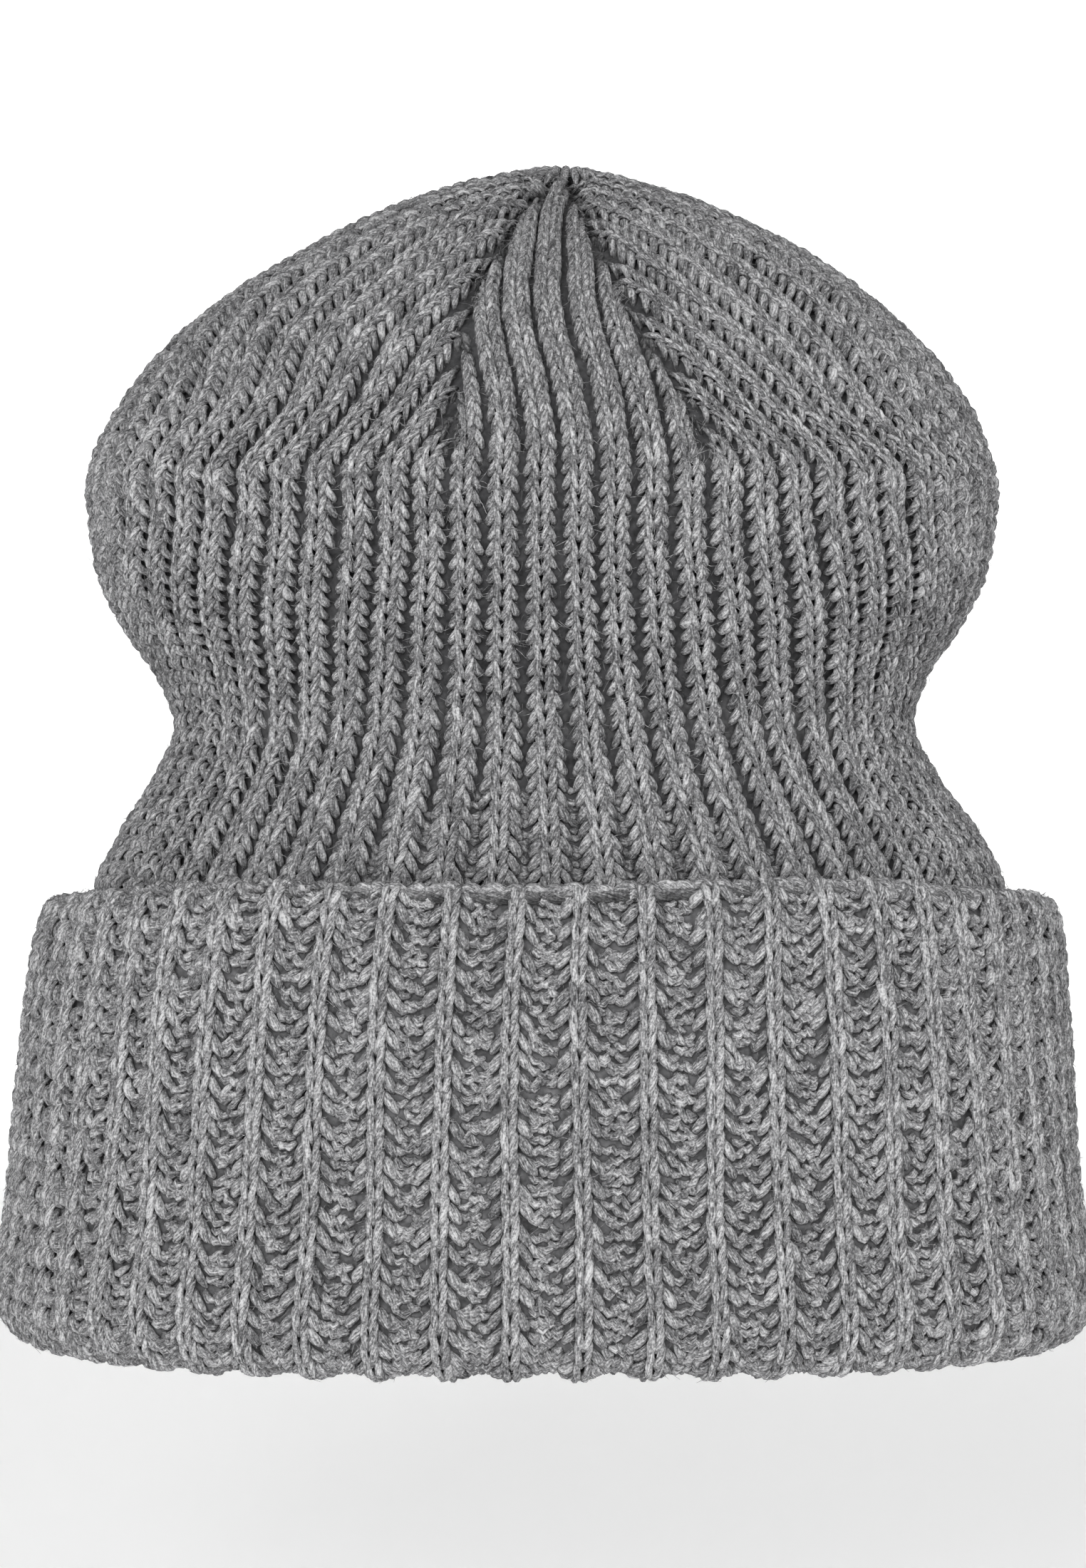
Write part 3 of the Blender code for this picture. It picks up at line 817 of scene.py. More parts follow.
# painted shade: the ground sheets behind the stitches get a base far darker than the yarn (0.055 on the body, 0.11 in
# the cuff), standing in for the shadow deep between the stitches
ground_mat = backing_material("grey_ground", (0.055, 0.055, 0.057))
cuff_ground_mat = backing_material("grey_ground_of_cuff", (0.11, 0.11, 0.113))


# --------------------------------------------------------------- the stitches
paths = body_paths()
cuffs = cuff_paths()
BODY_SECTORS, CUFF_SECTORS = 8, 6

body, low = Strands(), Strands()
for i, p in enumerate(paths):
    g = sector(i, BODY_SECTORS)
    s = rows_on(p, ROW_BODY, 1.2, p.length - 0.6)
    s = s + 0.35 * rng.normal()
    hidden = s < 60.0
    for mirror in (False, True):
        for store, k in ((body, ~hidden), (low, hidden)):
            lay(p, s[k], ROW_BODY, CHAIN, mirror, store, g, body_chain)
            lay(p, s[k], ROW_BODY, FLANK, mirror, store, g, body_flank)
make_pieces("body_stitches", body, 6, knit_mat, "hat")
make_pieces("body_stitches_in_cuff", low, 4, knit_mat, "hat")

# purl bumps in the wide channels near the foot of the body
bumps = Strands()
for i, p in enumerate(paths):
    s = rows_on(p, ROW_BODY, 1.2, 112.0)
    _, _, _, pitch = p.at(s)
    k = (s > 50) & (pitch > 7.4)
    for half in (-0.25, 0.25):
        lay(
            p, s[k], ROW_BODY, BUMP, False, bumps, sector(i, 2), lambda b, q: b * 0.9, 0.12,
            b0=lambda q: q / 2, t0=half, tilt=0.35, lift=lambda q: -1.35 + 0 * q,
        )
make_pieces("body_purl_bumps", bumps, 5, knit_mat, "hat")

cuff_chain, cuff_bumps = Strands(), Strands()
for i, p in enumerate(cuffs):
    g = sector(i, CUFF_SECTORS)
    s = rows_on(p, ROW_CUFF, 2.0, p.length - 1.5)
    s = s + 0.4 * rng.normal()
    for mirror in (False, True):
        # painted highlight: the chain legs get a lighter tone (0.8) than the rest, standing in for the light they catch
        # on the ribs' tops
        lay(p, s, ROW_CUFF, CUFF_CHAIN, mirror, cuff_chain, g, cuff_chain_across, 0.07, tone=0.8)
        lay(p, s, ROW_CUFF, CUFF_FLANK, mirror, cuff_chain, g, cuff_flank, 0.10, tilt=0.06)
    # bumps across the channel to the next chain
    _, _, _, pitch = p.at(s)
    room = lambda q: q - 2 * (np.clip(0.32 * q, 0.8, 3.2) + 0.05)
    count = np.clip(np.round(room(pitch) / 1.3), 1, 4).astype(int)
    for c in range(1, 5):
        k = count == c
        for j in range(c):
            for half in (-0.25, 0.25):
                lay(
                    p, s[k], ROW_CUFF, BUMP, False, cuff_bumps, g, lambda b, q, c=c: b * np.clip(room(q) / c / 1.5, 0.5, 1.25), 0.15,
                    b0=lambda q, j=j, c=c: q / 2 + (j - (c - 1) / 2) * room(q) / c, t0=half + 0.06 * ((j % 2) * 2 - 1), tilt=0.52,
                )
make_pieces("cuff_stitches", cuff_chain, 7, knit_mat, "cuff_body")
make_pieces("cuff_purl_bumps", cuff_bumps, 5, knit_mat, "cuff_body")


# ------------------------------------------------------------ fine fibres
def fibres(paths, count, s_lo, s_hi, lift, sectors, seed, where=None):
    """Loose hairs of the brushed yarn: short curved threads on the ribs."""
    g = np.random.default_rng(seed)
    store = Strands()
    which = np.sort(g.integers(0, len(paths), count))
    for i in range(len(paths)):
        n = int((which == i).sum())
        p = paths[i]
        hi = p.length - 1.0 if s_hi is None else min(s_hi, p.length - 1.0)
        if n == 0 or hi <= s_lo:
            continue
        sp = g.uniform(s_lo, hi, n)
        P, N, B, pitch = p.at(sp)
        T = np.cross(N, B)
        b = g.normal(0, 0.24, n).clip(-0.5, 0.5) * pitch
        h = lift - 1.6 * (np.abs(b) / (0.42 * np.minimum(pitch, 6.2))).clip(0, 1.2) ** 2
        if p.panel >= 0:
            u, m = np.interp(sp, p.s, p.u), np.interp(sp, p.s, p.m)
            ok = (side_gap(u, z_of_m(m)) * (1 if p.panel % 2 == 0 else -1) > 1.6) | (z_of_m(m) < DART)
            P, N, B, T, b, h = P[ok], N[ok], B[ok], T[ok], b[ok], h[ok]
            n = int(ok.sum())
        phi, phi2 = g.uniform(0, 2 * math.pi, (2, n, 1))
        L = g.uniform(0.6, 1.7, (n, 1)) * g.uniform(0.6, 1.25, (n, 1))
        out = g.uniform(0.25, 0.95, (n, 1))
        d1 = np.cos(phi) * T + np.sin(phi) * B + out * N
        d2 = 1.1 * (np.cos(phi2) * T + np.sin(phi2) * B) - g.uniform(0.3, 1.1, (n, 1)) * N
        base = P + B * b[:, None] + N * h[:, None]
        f = np.array([0.0, 0.52, 1.0])
        X = base[:, None] + L[:, None] * (f[None, :, None] * d1[:, None] + (f ** 2)[None, :, None] * d2[:, None] * 0.8)
        R = np.array([[0.055, 0.050, 0.024]]) * g.uniform(0.7, 1.15, (n, 1))
        store.add(X, np.repeat(N[:, None], 3, 1), R, np.full(n, i * sectors // len(paths)), 0.0, 1.0, np.repeat((h - 0.3)[:, None], 3, 1))
    return store


make_pieces("body_fibres", fibres(paths, 46000, 62.0, None, -0.1, 6, 21), 3, fuzz_mat, "hat")
make_pieces("cuff_fibres", fibres(cuffs, 34000, 12.0, None, -0.1, 4, 22), 3, fuzz_mat, "cuff_body")


# ---------------------------------------------------- ground and inner faces
def skin(name, outer, inner, mat, rib_uv=None):
    """A closed shell from an outer and an inner grid of points (rows x n x 3),
    joined at both ends.  rib_uv: ribs and stitch rows of the inner grid."""
    n = outer.shape[1]
    ringset = np.concatenate([outer, inner[::-1]])
    M = ringset.shape[0]
    V = ringset.reshape(-1, 3) * 0.001
    r, c = np.meshgrid(np.arange(M), np.arange(n), indexing="ij")
    c2, r2 = (c + 1) % n, (r + 1) % M
    F = np.stack([r * n + c, r * n + c2, r2 * n + c2, r2 * n + c], -1).reshape(-1, 4)
    mesh = bpy.data.meshes.new(name)
    mesh.vertices.add(len(V))
    mesh.vertices.foreach_set("co", V.astype(np.float32).ravel())
    mesh.loops.add(F.size)
    mesh.loops.foreach_set("vertex_index", F.astype(np.int32).ravel())
    mesh.polygons.add(len(F))
    mesh.polygons.foreach_set("loop_start", (np.arange(len(F)) * 4).astype(np.int32))
    mesh.polygons.foreach_set("loop_total", np.full(len(F), 4, np.int32))
    mesh.update(calc_edges=True)
    mesh.shade_smooth()
    uvs = np.stack([
        np.stack([c / n, (c + 1) / n, (c + 1) / n, c / n], -1),
        np.stack([r / M, r / M, (r + 1) / M, (r + 1) / M], -1),
    ], -1).reshape(-1, 2)
    if rib_uv is not None:
        top = np.full((outer.shape[0], n + 1, 2), 0.0)
        full = np.concatenate([top, rib_uv[::-1]])
        nxt = full[(np.arange(M) + 1) % M]
        corner = np.stack([full[:, :-1], full[:, 1:], nxt[:, 1:], nxt[:, :-1]], 2).reshape(-1, 2)
        layer = mesh.uv_layers.new(name="ribs")
        layer.data.foreach_set("uv", corner.astype(np.float32).ravel())
    layer = mesh.uv_layers.new(name="OFBake")
    layer.data.foreach_set("uv", uvs.astype(np.float32).ravel())
    mesh.materials.append(mat)
    obj = bpy.data.objects.new(name, mesh)
    bpy.context.scene.collection.objects.link(obj)
    return obj


def lining_material(name, base):
    """Inner face: V stitches drawn from the rib and row coordinates."""
    m = backing_material(name, base)
    t, N = m.node_tree, m.node_tree.nodes
    bsdf = N["Principled BSDF"]
    uv = N.new("ShaderNodeUVMap")
    uv.uv_map = "ribs"
    sep = N.new("ShaderNodeSeparateXYZ")

    def math_node(op, a, b=None):
        x = N.new("ShaderNodeMath")
        x.operation = op
        for k, v in enumerate((a, b)):
            if v is None:
                continue
            if isinstance(v, (int, float)):
                x.inputs[k].default_value = v
            else:
                t.links.new(v, x.inputs[k])
        return x.outputs[0]

    t.links.new(uv.outputs["UV"], sep.inputs[0])
    frac = math_node("FRACT", math_node("ADD", sep.outputs[0], 0.5))
    off = math_node("ABSOLUTE", math_node("SUBTRACT", frac, 0.5))       # 0 on the rib, 0.5 in the groove
    row = math_node("SUBTRACT", sep.outputs[1], math_node("MULTIPLY", off, 1.9))
    wave = math_node("ABSOLUTE", math_node("SINE", math_node("MULTIPLY", row, math.pi)))
    gap = math_node("MULTIPLY", math_node("SMOOTH_MIN", off, 0.09), 6.0)
    height = math_node("MULTIPLY", wave, math_node("ADD", gap, 0.45))
    old = bsdf.inputs["Normal"].links[0].from_node
    bump = N.new("ShaderNodeBump")
    bump.inputs["Strength"].default_value = 1.0
    bump.inputs["Distance"].default_value = 0.0007
    t.links.new(height, bump.inputs["Height"])
    t.links.new(old.outputs["Normal"], bump.inputs["Normal"])
    t.links.new(bump.outputs["Normal"], bsdf.inputs["Normal"])
    # painted shade: the colour is darkened in the gaps between stitches, standing in for their shadow
    col = bsdf.inputs["Base Color"].links[0].from_socket
    dim = N.new("ShaderNodeMapRange")
    dim.inputs["From Min"].default_value = 0.0
    dim.inputs["From Max"].default_value = 0.7
    dim.inputs["To Min"].default_value = 0.35
    dim.inputs["To Max"].default_value = 1.0
    t.links.new(height, dim.inputs["Value"])
    mul = N.new("ShaderNodeMix")
    mul.data_type = "RGBA"
    mul.blend_type = "MULTIPLY"
    mul.inputs["Factor"].default_value = 1.0
    t.links.new(col, mul.inputs[6])
    t.links.new(dim.outputs[0], mul.inputs[7])
    t.links.new(mul.outputs[2], bsdf.inputs["Base Color"])
    return m


lining_mat = lining_material("grey_inner_rib", (0.20, 0.20, 0.204))


def body_ground():
    u = np.arange(168) / 168
    m = np.concatenate([np.arange(0, M_TOP - 9.0, 2.0), [M_TOP - 8.0, M_TOP - 6.5, M_TOP - 5.0, M_TOP - 3.5, M_TOP - 2.0, M_TOP - 0.8]])
    U, Mm = np.meshgrid(u, m)
    P, N = BODY.point(U, Mm), BODY.normal(U, Mm)
    d = crease(U, z_of_m(Mm), 0.9, 2.1) + 0.0
    return skin("body_ground", P - N * (2.95 + d)[..., None], P - N * (3.35 + d)[..., None], ground_mat)


def body_lining():
    n = 504
    u = np.arange(n + 1) / n
    m = np.concatenate([np.arange(0, M_TOP - 9.0, 2.2), [M_TOP - 8.0, M_TOP - 5.5, M_TOP - 3.0, M_TOP - 0.8]])
    phase = np.stack([rib_phase(u[:-1], x) for x in m])
    phase = np.concatenate([phase, phase[:, :1] + np.array([[np.sum(~np.isnan(RIB_U[:, int(np.argmin(np.abs(MS - x)))]))] for x in m])], axis=1)
    U, Mm = np.meshgrid(u[:-1], m)
    P, N = BODY.point(U, Mm), BODY.normal(U, Mm)
    d = crease(U, z_of_m(Mm), 0.9, 2.1)
    relief = 0.5 + 0.5 * np.cos(2 * math.pi * phase[:, :-1])
    few = np.linspace(0, len(m) - 1, 24).round().astype(int)
    uv = np.stack([phase, np.repeat((m / ROW_BODY)[:, None], n + 1, 1)], -1)
    return skin("body_inner_face", (P - N * (3.45 + d)[..., None])[few], P - N * (3.75 + d + 0.75 * relief)[..., None], lining_mat, uv)


g = body_ground()
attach(g, "hat")
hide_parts("body_tube", "crown_front_gore", "crown_left_gore", "crown_back_gore", "crown_right_gore")
g = body_lining()
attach(g, "hat")

M_EDGE = float(CUFF_M[int(np.argmax(CUFF_Z))])


def cuff_ground():
    u = np.arange(168) / 168
    m = np.arange(0, M_EDGE - 2.2, 1.0)
    U, Mm = np.meshgrid(u, m)
    P, N = CUFF.point(U, Mm), CUFF.normal(U, Mm)
    return skin("cuff_ground", P - N * 2.35, P - N * 2.85, cuff_ground_mat)


def cuff_lining():
    n = 504
    u = np.arange(n + 1) / n
    m = np.arange(0, M_EDGE - 2.6, 1.5)
    ribs = np.array([np.mod(u_even(i + 0.5, 40.0), 1.0) for i in range(RIBS)])
    ribs = np.sort(ribs)
    ribs = np.concatenate([ribs - 1, ribs, ribs + 1])
    phase = np.interp(u, ribs, np.arange(len(ribs)))
    U, Mm = np.meshgrid(u[:-1], m)
    P, N = CUFF.point(U, Mm), CUFF.normal(U, Mm)
    relief = np.repeat((0.5 + 0.5 * np.cos(2 * math.pi * phase[:-1]))[None], len(m), 0)
    few = np.linspace(0, len(m) - 1, 30).round().astype(int)
    uv = np.stack([np.repeat(phase[None], len(m), 0), np.repeat((m / ROW_CUFF)[:, None], n + 1, 1)], -1)
    return skin("cuff_inner_face", (P - N * 2.95)[few], P - N * (3.2 + 0.7 * relief)[..., None], lining_mat, uv)


g = cuff_ground()
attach(g, "cuff_body")
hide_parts("cuff")
g = cuff_lining()
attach(g, "cuff_body")


def piece(name, strands, around, mat, body, slot, *stands_for):
    """All strands in one mesh."""
    obj = strands_mesh(name, *[x for k, x in enumerate(strands.arrays()) if k != 6], around, mat)
    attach(obj, body)
    if stands_for:
        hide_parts(*stands_for)
    return obj


# ------------------------------------------------- bound-off edge of the cuff
def bound_edge():
    st_ = Strands()
    per = float(np.linalg.norm(np.diff(CUFF.point(U_GRID, np.full(721, M_EDGE)), axis=0), axis=1).sum())
    t = np.linspace(-1, 1, 6)
    for row, (dm, slant, count) in enumerate(((0.3, -0.9, 158), (2.3, 0.8, 150))):
        u0 = (np.arange(count)[:, None] + rng.normal(0, 0.12, (count, 1)) + 0.5 * row) / count
        u = u0 + t[None] * 2.5 / per
        m = M_EDGE + dm + t[None] * slant + rng.normal(0, 0.15, (count, 1))
        P, N = CUFF.point(u, m), CUFF.normal(u, m)
        n = -0.85 - 1.5 * np.abs(t[None]) ** 2.4 + rng.normal(0, 0.18, (count, 1))
        r = np.array([0.34, 0.66, 0.84, 0.84, 0.66, 0.34])[None] * (1 + rng.normal(0, 0.08, (count, 1)))
        st_.add(P + N * n[..., None], N, r, np.zeros(count, int), 0.2, 1.0, n + 0 * r)
    return st_


piece("cuff_bound_off_edge", bound_edge(), 7, knit_mat, "cuff_body", "knit_cuff", "cuff_bound_edge")


def edge_core():
    """Rolled edge under the bound-off loops."""
    K = 241
    u = np.linspace(0, 1, K)
    P = CUFF.point(u, np.full(K, M_EDGE)) - CUFF.normal(u, np.full(K, M_EDGE)) * 2.5
    N = CUFF.normal(u, np.full(K, M_EDGE))
    st_ = Strands()
    st_.add(P[None, :-1], N[None, :-1], np.full((1, K - 1), 1.0), np.zeros(1, int), 0.0, 1.0, -2.6)
    return st_


piece("cuff_edge_core", edge_core(), 8, knit_mat, "cuff_body", "knit_cuff")


# ---------------------------------------------------- drawn-in loops at the top
def drawn_top():
    st_ = Strands()
    m_out = float(np.interp(-10.5, -BODY_A(z_of_m(BODY_M[100:])), BODY_M[100:]))
    for count, m0, m1, n0, r0, turn in ((26, m_out - 1.5, M_TOP - 1.6, -0.5, 0.72, 0.0), (15, m_out + 2.0, M_TOP - 0.7, -0.25, 0.78, 0.3)):
        f = np.linspace(0, 1, 6)
        u = (np.arange(count)[:, None] + turn + rng.normal(0, 0.1, (count, 1))) / count + 0.015 * f[None]
        m = m0 + (m1 - m0) * f[None] + 0 * u
        P, N = BODY.point(u, m), BODY.normal(u, m)
        n = n0 - np.array([1.7, 0.5, 0.1, 0.25, 0.8, 2.1])[None] + 0 * u
        r = r0 * np.array([0.5, 0.95, 1.05, 0.95, 0.75, 0.5])[None] + 0 * u
        st_.add(P + N * n[..., None], N, r, np.zeros(count, int), 0.0, 1.0, n)
    # the gathering thread pulled through and knotted
    for k in range(5):
        a = k * 1.26 + 0.3
        f = np.linspace(-1, 1, 6)
        X = np.stack([3.0 * f * math.cos(a) - 0.4 * math.sin(a), 2.4 * f * math.sin(a) + 0.5 * math.cos(a), HEIGHT - 2.0 - 1.1 * f ** 2 + 0.12 * k], -1)[None]
        X = X + np.array([centre_x(HEIGHT), 0, 0])
        st_.add(X, np.broadcast_to([0.0, 0.0, 1.0], X.shape), np.full((1, 6), 0.62), np.zeros(1, int), -0.5, 1.0, -1.8)
    return st_


piece("crown_drawn_top", drawn_top(), 8, knit_mat, "hat", "seam_thread", "crown_tack")


# ------------------------------------------------------ seam ridges, inside
thread_mat = yarn_material("seam_thread_yarn", (0.05, 0.05, 0.052), (0.135, 0.135, 0.14), (0.26, 0.26, 0.265))


def overlock(lines, core, zig, wide=1.5):
    """A ridge of fabric edges bound with zigzag thread, along each line of
    (points, inward normals)."""
    for P, D in lines:
        seg = np.concatenate([[0], np.cumsum(np.linalg.norm(np.diff(P, axis=0), axis=1))])
        q = np.linspace(0, seg[-1], 40)
        at = lambda A, x: np.stack([np.interp(x, seg, A[:, k]) for k in range(3)], -1)
        core.add(at(P, q)[None] + at(D, q)[None] * 0.35, at(D, q)[None], np.full((1, 40), wide), np.zeros(1, int), 0.0, 0.62, -1.0)
        c = np.arange(0.8, seg[-1] - 0.8, 1.7)
        f = np.linspace(-1, 1, 6)
        for sgn in (-1, 1):
            x = c[:, None] + 0.85 * f[None] * sgn + 0.0
            X, Dn = at(P, x), at(D, x)
            Tn = at(np.gradient(P, seg, axis=0), x)
            side = np.cross(Tn, Dn)
            side /= np.linalg.norm(side, axis=-1, keepdims=True)
            X = X + side * (f[None, :, None] * wide * 1.02) + Dn * (0.35 + wide * 0.66 * np.sqrt(np.clip(1 - (f * 0.93) ** 2, 0, 1)))[None, :, None]
            zig.add(X, Dn, np.full(x.shape, 0.2), np.zeros(len(c), int), 0.6, 1.0, -1.0)


def body_line(ufun, z, inset):
    z = np.asarray(z, float)
    u, m = ufun(z), m_of_z(z)
    P, N = BODY.point(u, m), BODY.normal(u, m)
    return P - N * (inset + crease(u, z, 0.9, 2.1))[:, None], -N


core, zig = Strands(), Strands()
zs = 148.0 + (193.5 - 148.0) * (1 - (1 - np.linspace(0, 1, 30)) ** 1.3)
overlock([body_line(lambda z, sd=sd, h=h: dart_u(sd, z) + h, zs, 4.7) for h in (0.0, 0.5) for sd in (-1, 1)], core, zig)
piece("dart_seam_ridges", core, 8, thread_mat, "hat", "seam_thread", "dart_seam_front_left", "dart_seam_front_right", "dart_seam_back_left", "dart_seam_back_right")
piece("dart_seam_zigzag", zig, 5, thread_mat, "hat", "seam_thread")

core, zig = Strands(), Strands()
overlock([body_line(lambda z: 0.5 + 0 * z, np.linspace(14, 143, 60), 4.6)], core, zig)
piece("back_seam_ridge", core, 8, thread_mat, "hat", "seam_thread", "back_seam")
piece("back_seam_zigzag", zig, 5, thread_mat, "hat", "seam_thread")

core, zig = Strands(), Strands()
mm = np.interp(np.linspace(14, 61, 24), CUFF_Z[60:], CUFF_M[60:])
Pc, Nc = CUFF.point(np.full(24, 0.5), mm), CUFF.normal(np.full(24, 0.5), mm)
overlock([(Pc - Nc * 4.0, -Nc)], core, zig, 1.25)
piece("cuff_seam_ridge", core, 8, thread_mat, "cuff_body", "seam_thread", "cuff_seam")
piece("cuff_seam_zigzag", zig, 5, thread_mat, "cuff_body", "seam_thread")


# -------------------------------------------------------------- care label
def satin_material():
    m = bpy.data.materials.new("white_satin_tape")
    m.use_nodes = True
    t, N = m.node_tree, m.node_tree.nodes
    bsdf = N["Principled BSDF"]
    bsdf.inputs["Roughness"].default_value = 0.36
    bsdf.inputs["Sheen Weight"].default_value = 0.4
    bsdf.inputs["Anisotropic"].default_value = 0.6
    tc = N.new("ShaderNodeTexCoord")
    mp = N.new("ShaderNodeMapping")
    mp.inputs["Scale"].default_value = (2600.0, 2600.0, 5200.0)
    wv = N.new("ShaderNodeTexWave")
    wv.inputs["Scale"].default_value = 1.0
    wv.inputs["Distortion"].default_value = 0.6
    wv.bands_direction = "DIAGONAL"
    ns = N.new("ShaderNodeTexNoise")
    ns.inputs["Scale"].default_value = 160.0
    ns.inputs["Detail"].default_value = 4.0
    ramp = N.new("ShaderNodeValToRGB")
    e = ramp.color_ramp.elements
    e[0].position, e[0].color = 0.35, (0.70, 0.69, 0.66, 1)
    e[1].position, e[1].color = 0.65, (0.84, 0.83, 0.81, 1)
    bump = N.new("ShaderNodeBump")
    bump.inputs["Strength"].default_value = 0.5
    bump.inputs["Distance"].default_value = 0.0001
    links(t, [
        (tc.outputs["Object"], mp.inputs[0]), (mp.outputs[0], wv.inputs["Vector"]),
        (tc.outputs["Object"], ns.inputs["Vector"]), (ns.outputs["Fac"], ramp.inputs["Fac"]),
        (ramp.outputs["Color"], bsdf.inputs["Base Color"]), (wv.outputs["Fac"], bump.inputs["Height"]),
        (bump.outputs["Normal"], bsdf.inputs["Normal"]),
    ])
    return m


LABEL_LO, LABEL_HI = NODE_BOX["care_label"]
label_mid_y = (LABEL_LO[1] + LABEL_HI[1]) * 500.0
LABEL_W, LABEL_TOP, LABEL_FOOT = LABEL_HI[0] * 1000.0, LABEL_HI[2] * 1000.0, LABEL_LO[2] * 1000.0


def label_piece():
    """A tape folded double at the foot: two leaves with rounded fold, softly
    waved, selvedges slightly raised."""
    nx, nz = 27, 40
    x = np.linspace(-LABEL_W, LABEL_W, nx)
    f = np.linspace(0, 1, nz)
    z = LABEL_TOP - (LABEL_TOP - LABEL_FOOT) * f
    X, Z = np.meshgrid(x, z)
    wave = 0.55 * np.sin(X / 6.5 + 0.6) * smoothstep(LABEL_TOP - Z, 3, 26) + 0.25 * np.sin(Z / 7.0) * smoothstep(LABEL_TOP - Z, 3, 20)
    edge = 0.10 * smoothstep(np.abs(X), LABEL_W - 1.6, LABEL_W - 0.6)
    open_ = 0.16 + 0.22 * np.sin(np.pi * np.clip((LABEL_TOP - Z) / (LABEL_TOP - LABEL_FOOT), 0, 1)) ** 0.5
    end = np.where(np.arange(nz) >= nz - 2, 0.55, 1.0)[:, None]
    front = np.stack([X, label_mid_y + wave - (open_ + edge) * end, Z], -1)
    back = np.stack([X, label_mid_y + wave + (open_ + edge) * end, Z], -1)
    V = np.concatenate([front.reshape(-1, 3), back.reshape(-1, 3)]) * 0.001
    idx = np.arange(nx * nz).reshape(nz, nx)
    o = nx * nz
    faces = []
    for j in range(nz - 1):
        for i in range(nx - 1):
            a, b, c, d = idx[j, i], idx[j, i + 1], idx[j + 1, i + 1], idx[j + 1, i]
            faces.append((a, d, c, b))
            faces.append((a + o, b + o, c + o, d + o))
    for j in range(nz - 1):
        faces.append((idx[j, 0], idx[j, 0] + o, idx[j + 1, 0] + o, idx[j + 1, 0]))
        faces.append((idx[j, -1], idx[j + 1, -1], idx[j + 1, -1] + o, idx[j, -1] + o))
    for i in range(nx - 1):
        faces.append((idx[0, i], idx[0, i + 1], idx[0, i + 1] + o, idx[0, i] + o))
        faces.append((idx[-1, i], idx[-1, i] + o, idx[-1, i + 1] + o, idx[-1, i + 1]))
    mesh = bpy.data.meshes.new("care_label_tape")
    mesh.from_pydata([tuple(v) for v in V], [], [tuple(int(k) for k in q) for q in faces])
    mesh.update()
    mesh.shade_smooth()
    mesh.materials.append(satin_material())
    obj = bpy.data.objects.new("care_label_tape", mesh)
    bpy.context.scene.collection.objects.link(obj)
    return obj


g = label_piece()
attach(g, "label")
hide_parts("care_label")

tacks = Strands()
f = np.linspace(-1, 1, 6)
for k, x in enumerate(np.arange(-LABEL_W + 1.2, LABEL_W - 0.5, 1.45)):
    X = np.stack([x + 0.62 * f, label_mid_y + 0.55 * np.ones(6) - 0.75 * (1 - f ** 2), LABEL_TOP + 0.95 + 0.42 * f * (1 if k % 2 else -1)], -1)[None]
    tacks.add(X, np.broadcast_to([0.0, -1.0, 0.0], X.shape), np.full((1, 6), 0.24), np.zeros(1, int), 0.4, 1.0, -1.0)
# the tape's folded top edge caught under the stitches, and the tails back to the fabric
for k, x in enumerate(np.linspace(-LABEL_W + 1.5, LABEL_W - 1.5, 7)):
    y1 = float(BODY.point(np.array([0.5]), np.array([m_of_z(LABEL_TOP + 2.0)]))[0][1]) - 4.2
    Y = np.linspace(label_mid_y + 0.3, y1, 6)
    X = np.stack([x + 0.2 * np.sin(f * 3), Y, LABEL_TOP + 0.95 + 1.0 * ((f + 1) / 2) ** 1.5], -1)[None]
    tacks.add(X, np.broadcast_to([0.0, 0.0, 1.0], X.shape), np.full((1, 6), 0.26), np.zeros(1, int), 0.0, 1.0, -1.0)
piece("label_tack_stitches", tacks, 6, thread_mat, "hat", "seam_thread", "label_stitches")


# ------------------------------------------------------------ stage and light
FLOOR = -0.067                              # below the turned-down cuff's rim


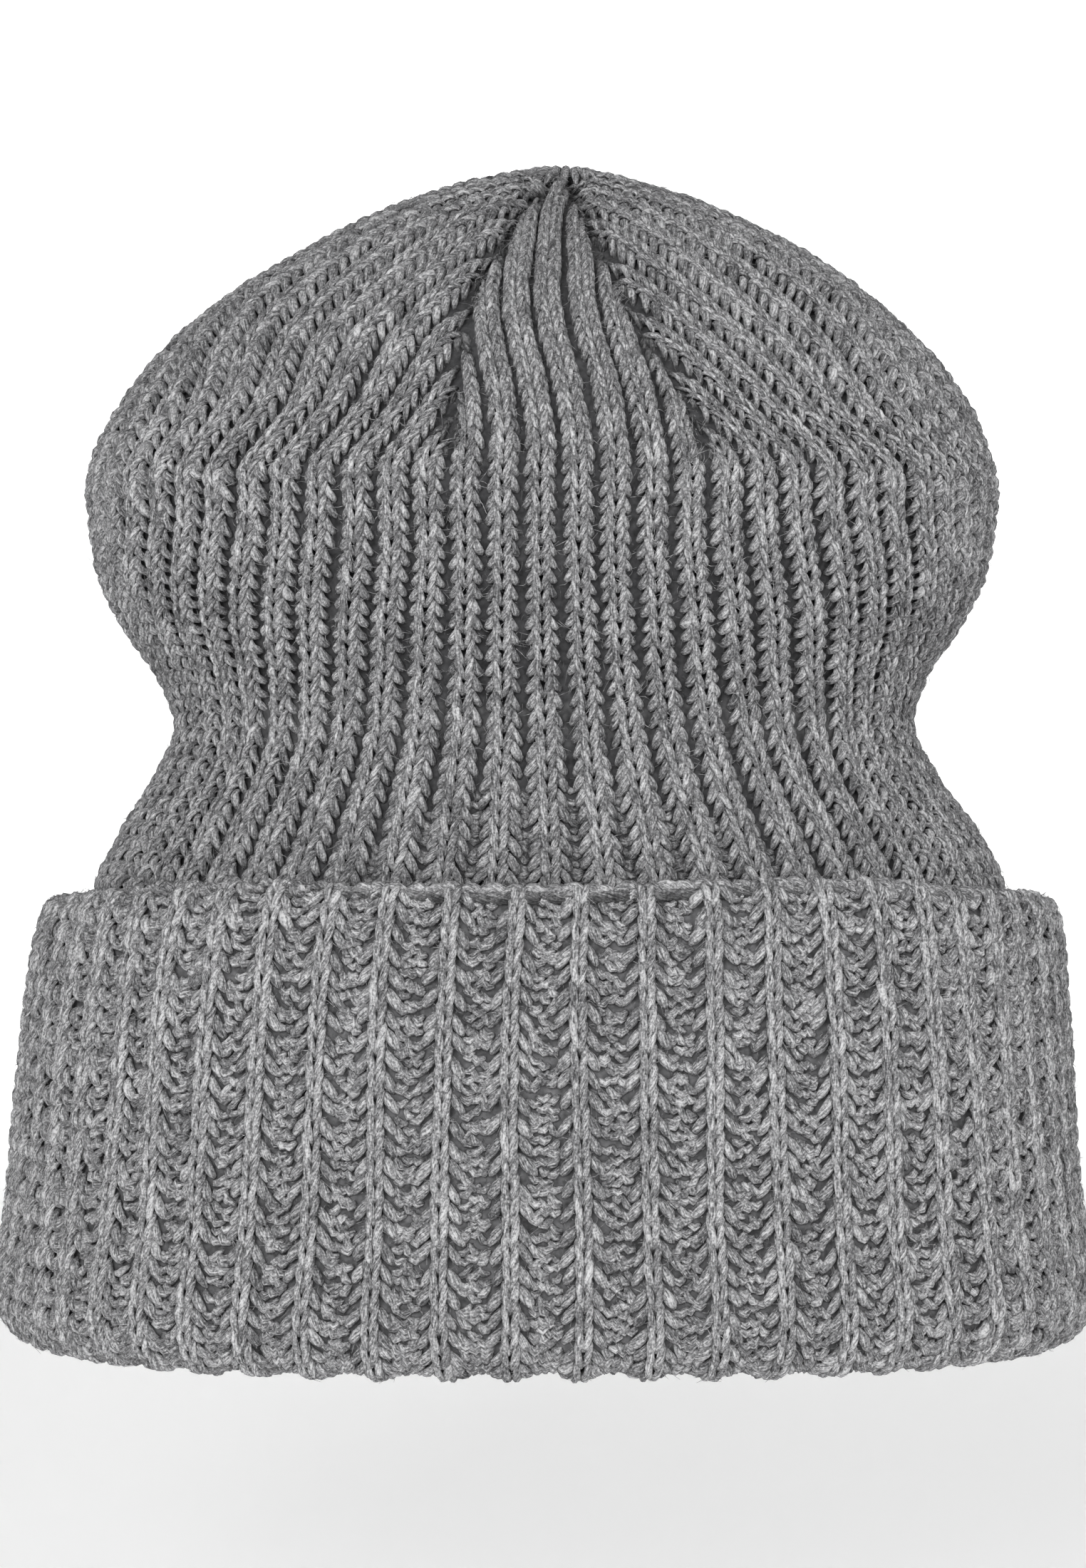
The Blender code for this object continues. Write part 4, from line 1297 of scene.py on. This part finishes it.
def backdrop():
    """Pale paper: a round floor rolling up into a wall on every side."""
    prof = [(0.0, 0.0), (0.8, 0.0), (2.2, 0.0)]
    for k in range(1, 13):
        a = k / 12 * math.pi / 2
        prof.append((2.2 + 0.8 * math.sin(a), 0.8 - 0.8 * math.cos(a)))
    prof.append((3.0, 3.2))
    turn = 64
    me = bpy.data.meshes.new("backdrop")
    verts, faces = [(0.0, 0.0, FLOOR)], []
    for r, z in prof[1:]:
        for t in range(turn):
            a = 2 * math.pi * t / turn
            verts.append((r * math.cos(a), r * math.sin(a), z + FLOOR))
    for t in range(turn):
        faces.append((0, 1 + t, 1 + (t + 1) % turn))
    for k in range(len(prof) - 2):
        for t in range(turn):
            a, b = 1 + k * turn + t, 1 + k * turn + (t + 1) % turn
            faces.append((a, a + turn, b + turn, b))
    me.from_pydata(verts, [], faces)
    me.shade_smooth()
    o = bpy.data.objects.new("backdrop", me)
    bpy.context.scene.collection.objects.link(o)
    return o


paper = bpy.data.materials.new("pale_paper")
paper.use_nodes = True
pb = paper.node_tree.nodes["Principled BSDF"]
pb.inputs["Base Color"].default_value = (0.90, 0.90, 0.90, 1)
pb.inputs["Roughness"].default_value = 0.95
paper.node_tree.nodes["Principled BSDF"].inputs["Emission Color"].default_value = (1, 1, 1, 1)
paper.node_tree.nodes["Principled BSDF"].inputs["Emission Strength"].default_value = 0.22
backdrop().data.materials.append(paper)

world = bpy.data.worlds.new("studio")
bpy.context.scene.world = world
world.use_nodes = True
world.node_tree.nodes["Background"].inputs["Color"].default_value = (1, 1, 1, 1)
world.node_tree.nodes["Background"].inputs["Strength"].default_value = 0.09


def area(name, pos, target, size, power):
    d = bpy.data.lights.new(name, "AREA")
    d.shape = "DISK"
    d.size = size
    d.energy = power
    o = bpy.data.objects.new(name, d)
    o.location = pos
    o.rotation_euler = (Vector(target) - Vector(pos)).to_track_quat("-Z", "Y").to_euler()
    bpy.context.scene.collection.objects.link(o)


area("key", (-0.26, -1.10, 0.34), (0, 0, 0.09), 0.5, 7.8)
area("fill", (0.45, -1.05, 0.10), (0, 0, 0.09), 0.6, 3.6)
area("wall", (0.0, 1.2, 1.6), (0, 3.0, 1.0), 1.5, 42.0)
area("back", (0.15, 1.15, 0.55), (0, 0, 0.09), 0.7, 0.8)

# camera: 0.125 mm per pixel of a 1524 x 2200 frame, at the hat's middle plane
DIST = 0.600
WIDE, TALL = 1524, 2200
PX = 0.000125
cam = bpy.data.cameras.new("camera")
cam.sensor_fit = "AUTO"
cam.sensor_width = 36.0
cam.lens = 36.0 * DIST / (TALL * PX)
cam_obj = bpy.data.objects.new("camera", cam)
cam_obj.location = (-0.0004, -DIST, 0.0936)
cam_obj.rotation_euler = (math.radians(90), 0, 0)
bpy.context.scene.collection.objects.link(cam_obj)
bpy.context.scene.camera = cam_obj
bpy.context.scene.view_settings.view_transform = "Standard"
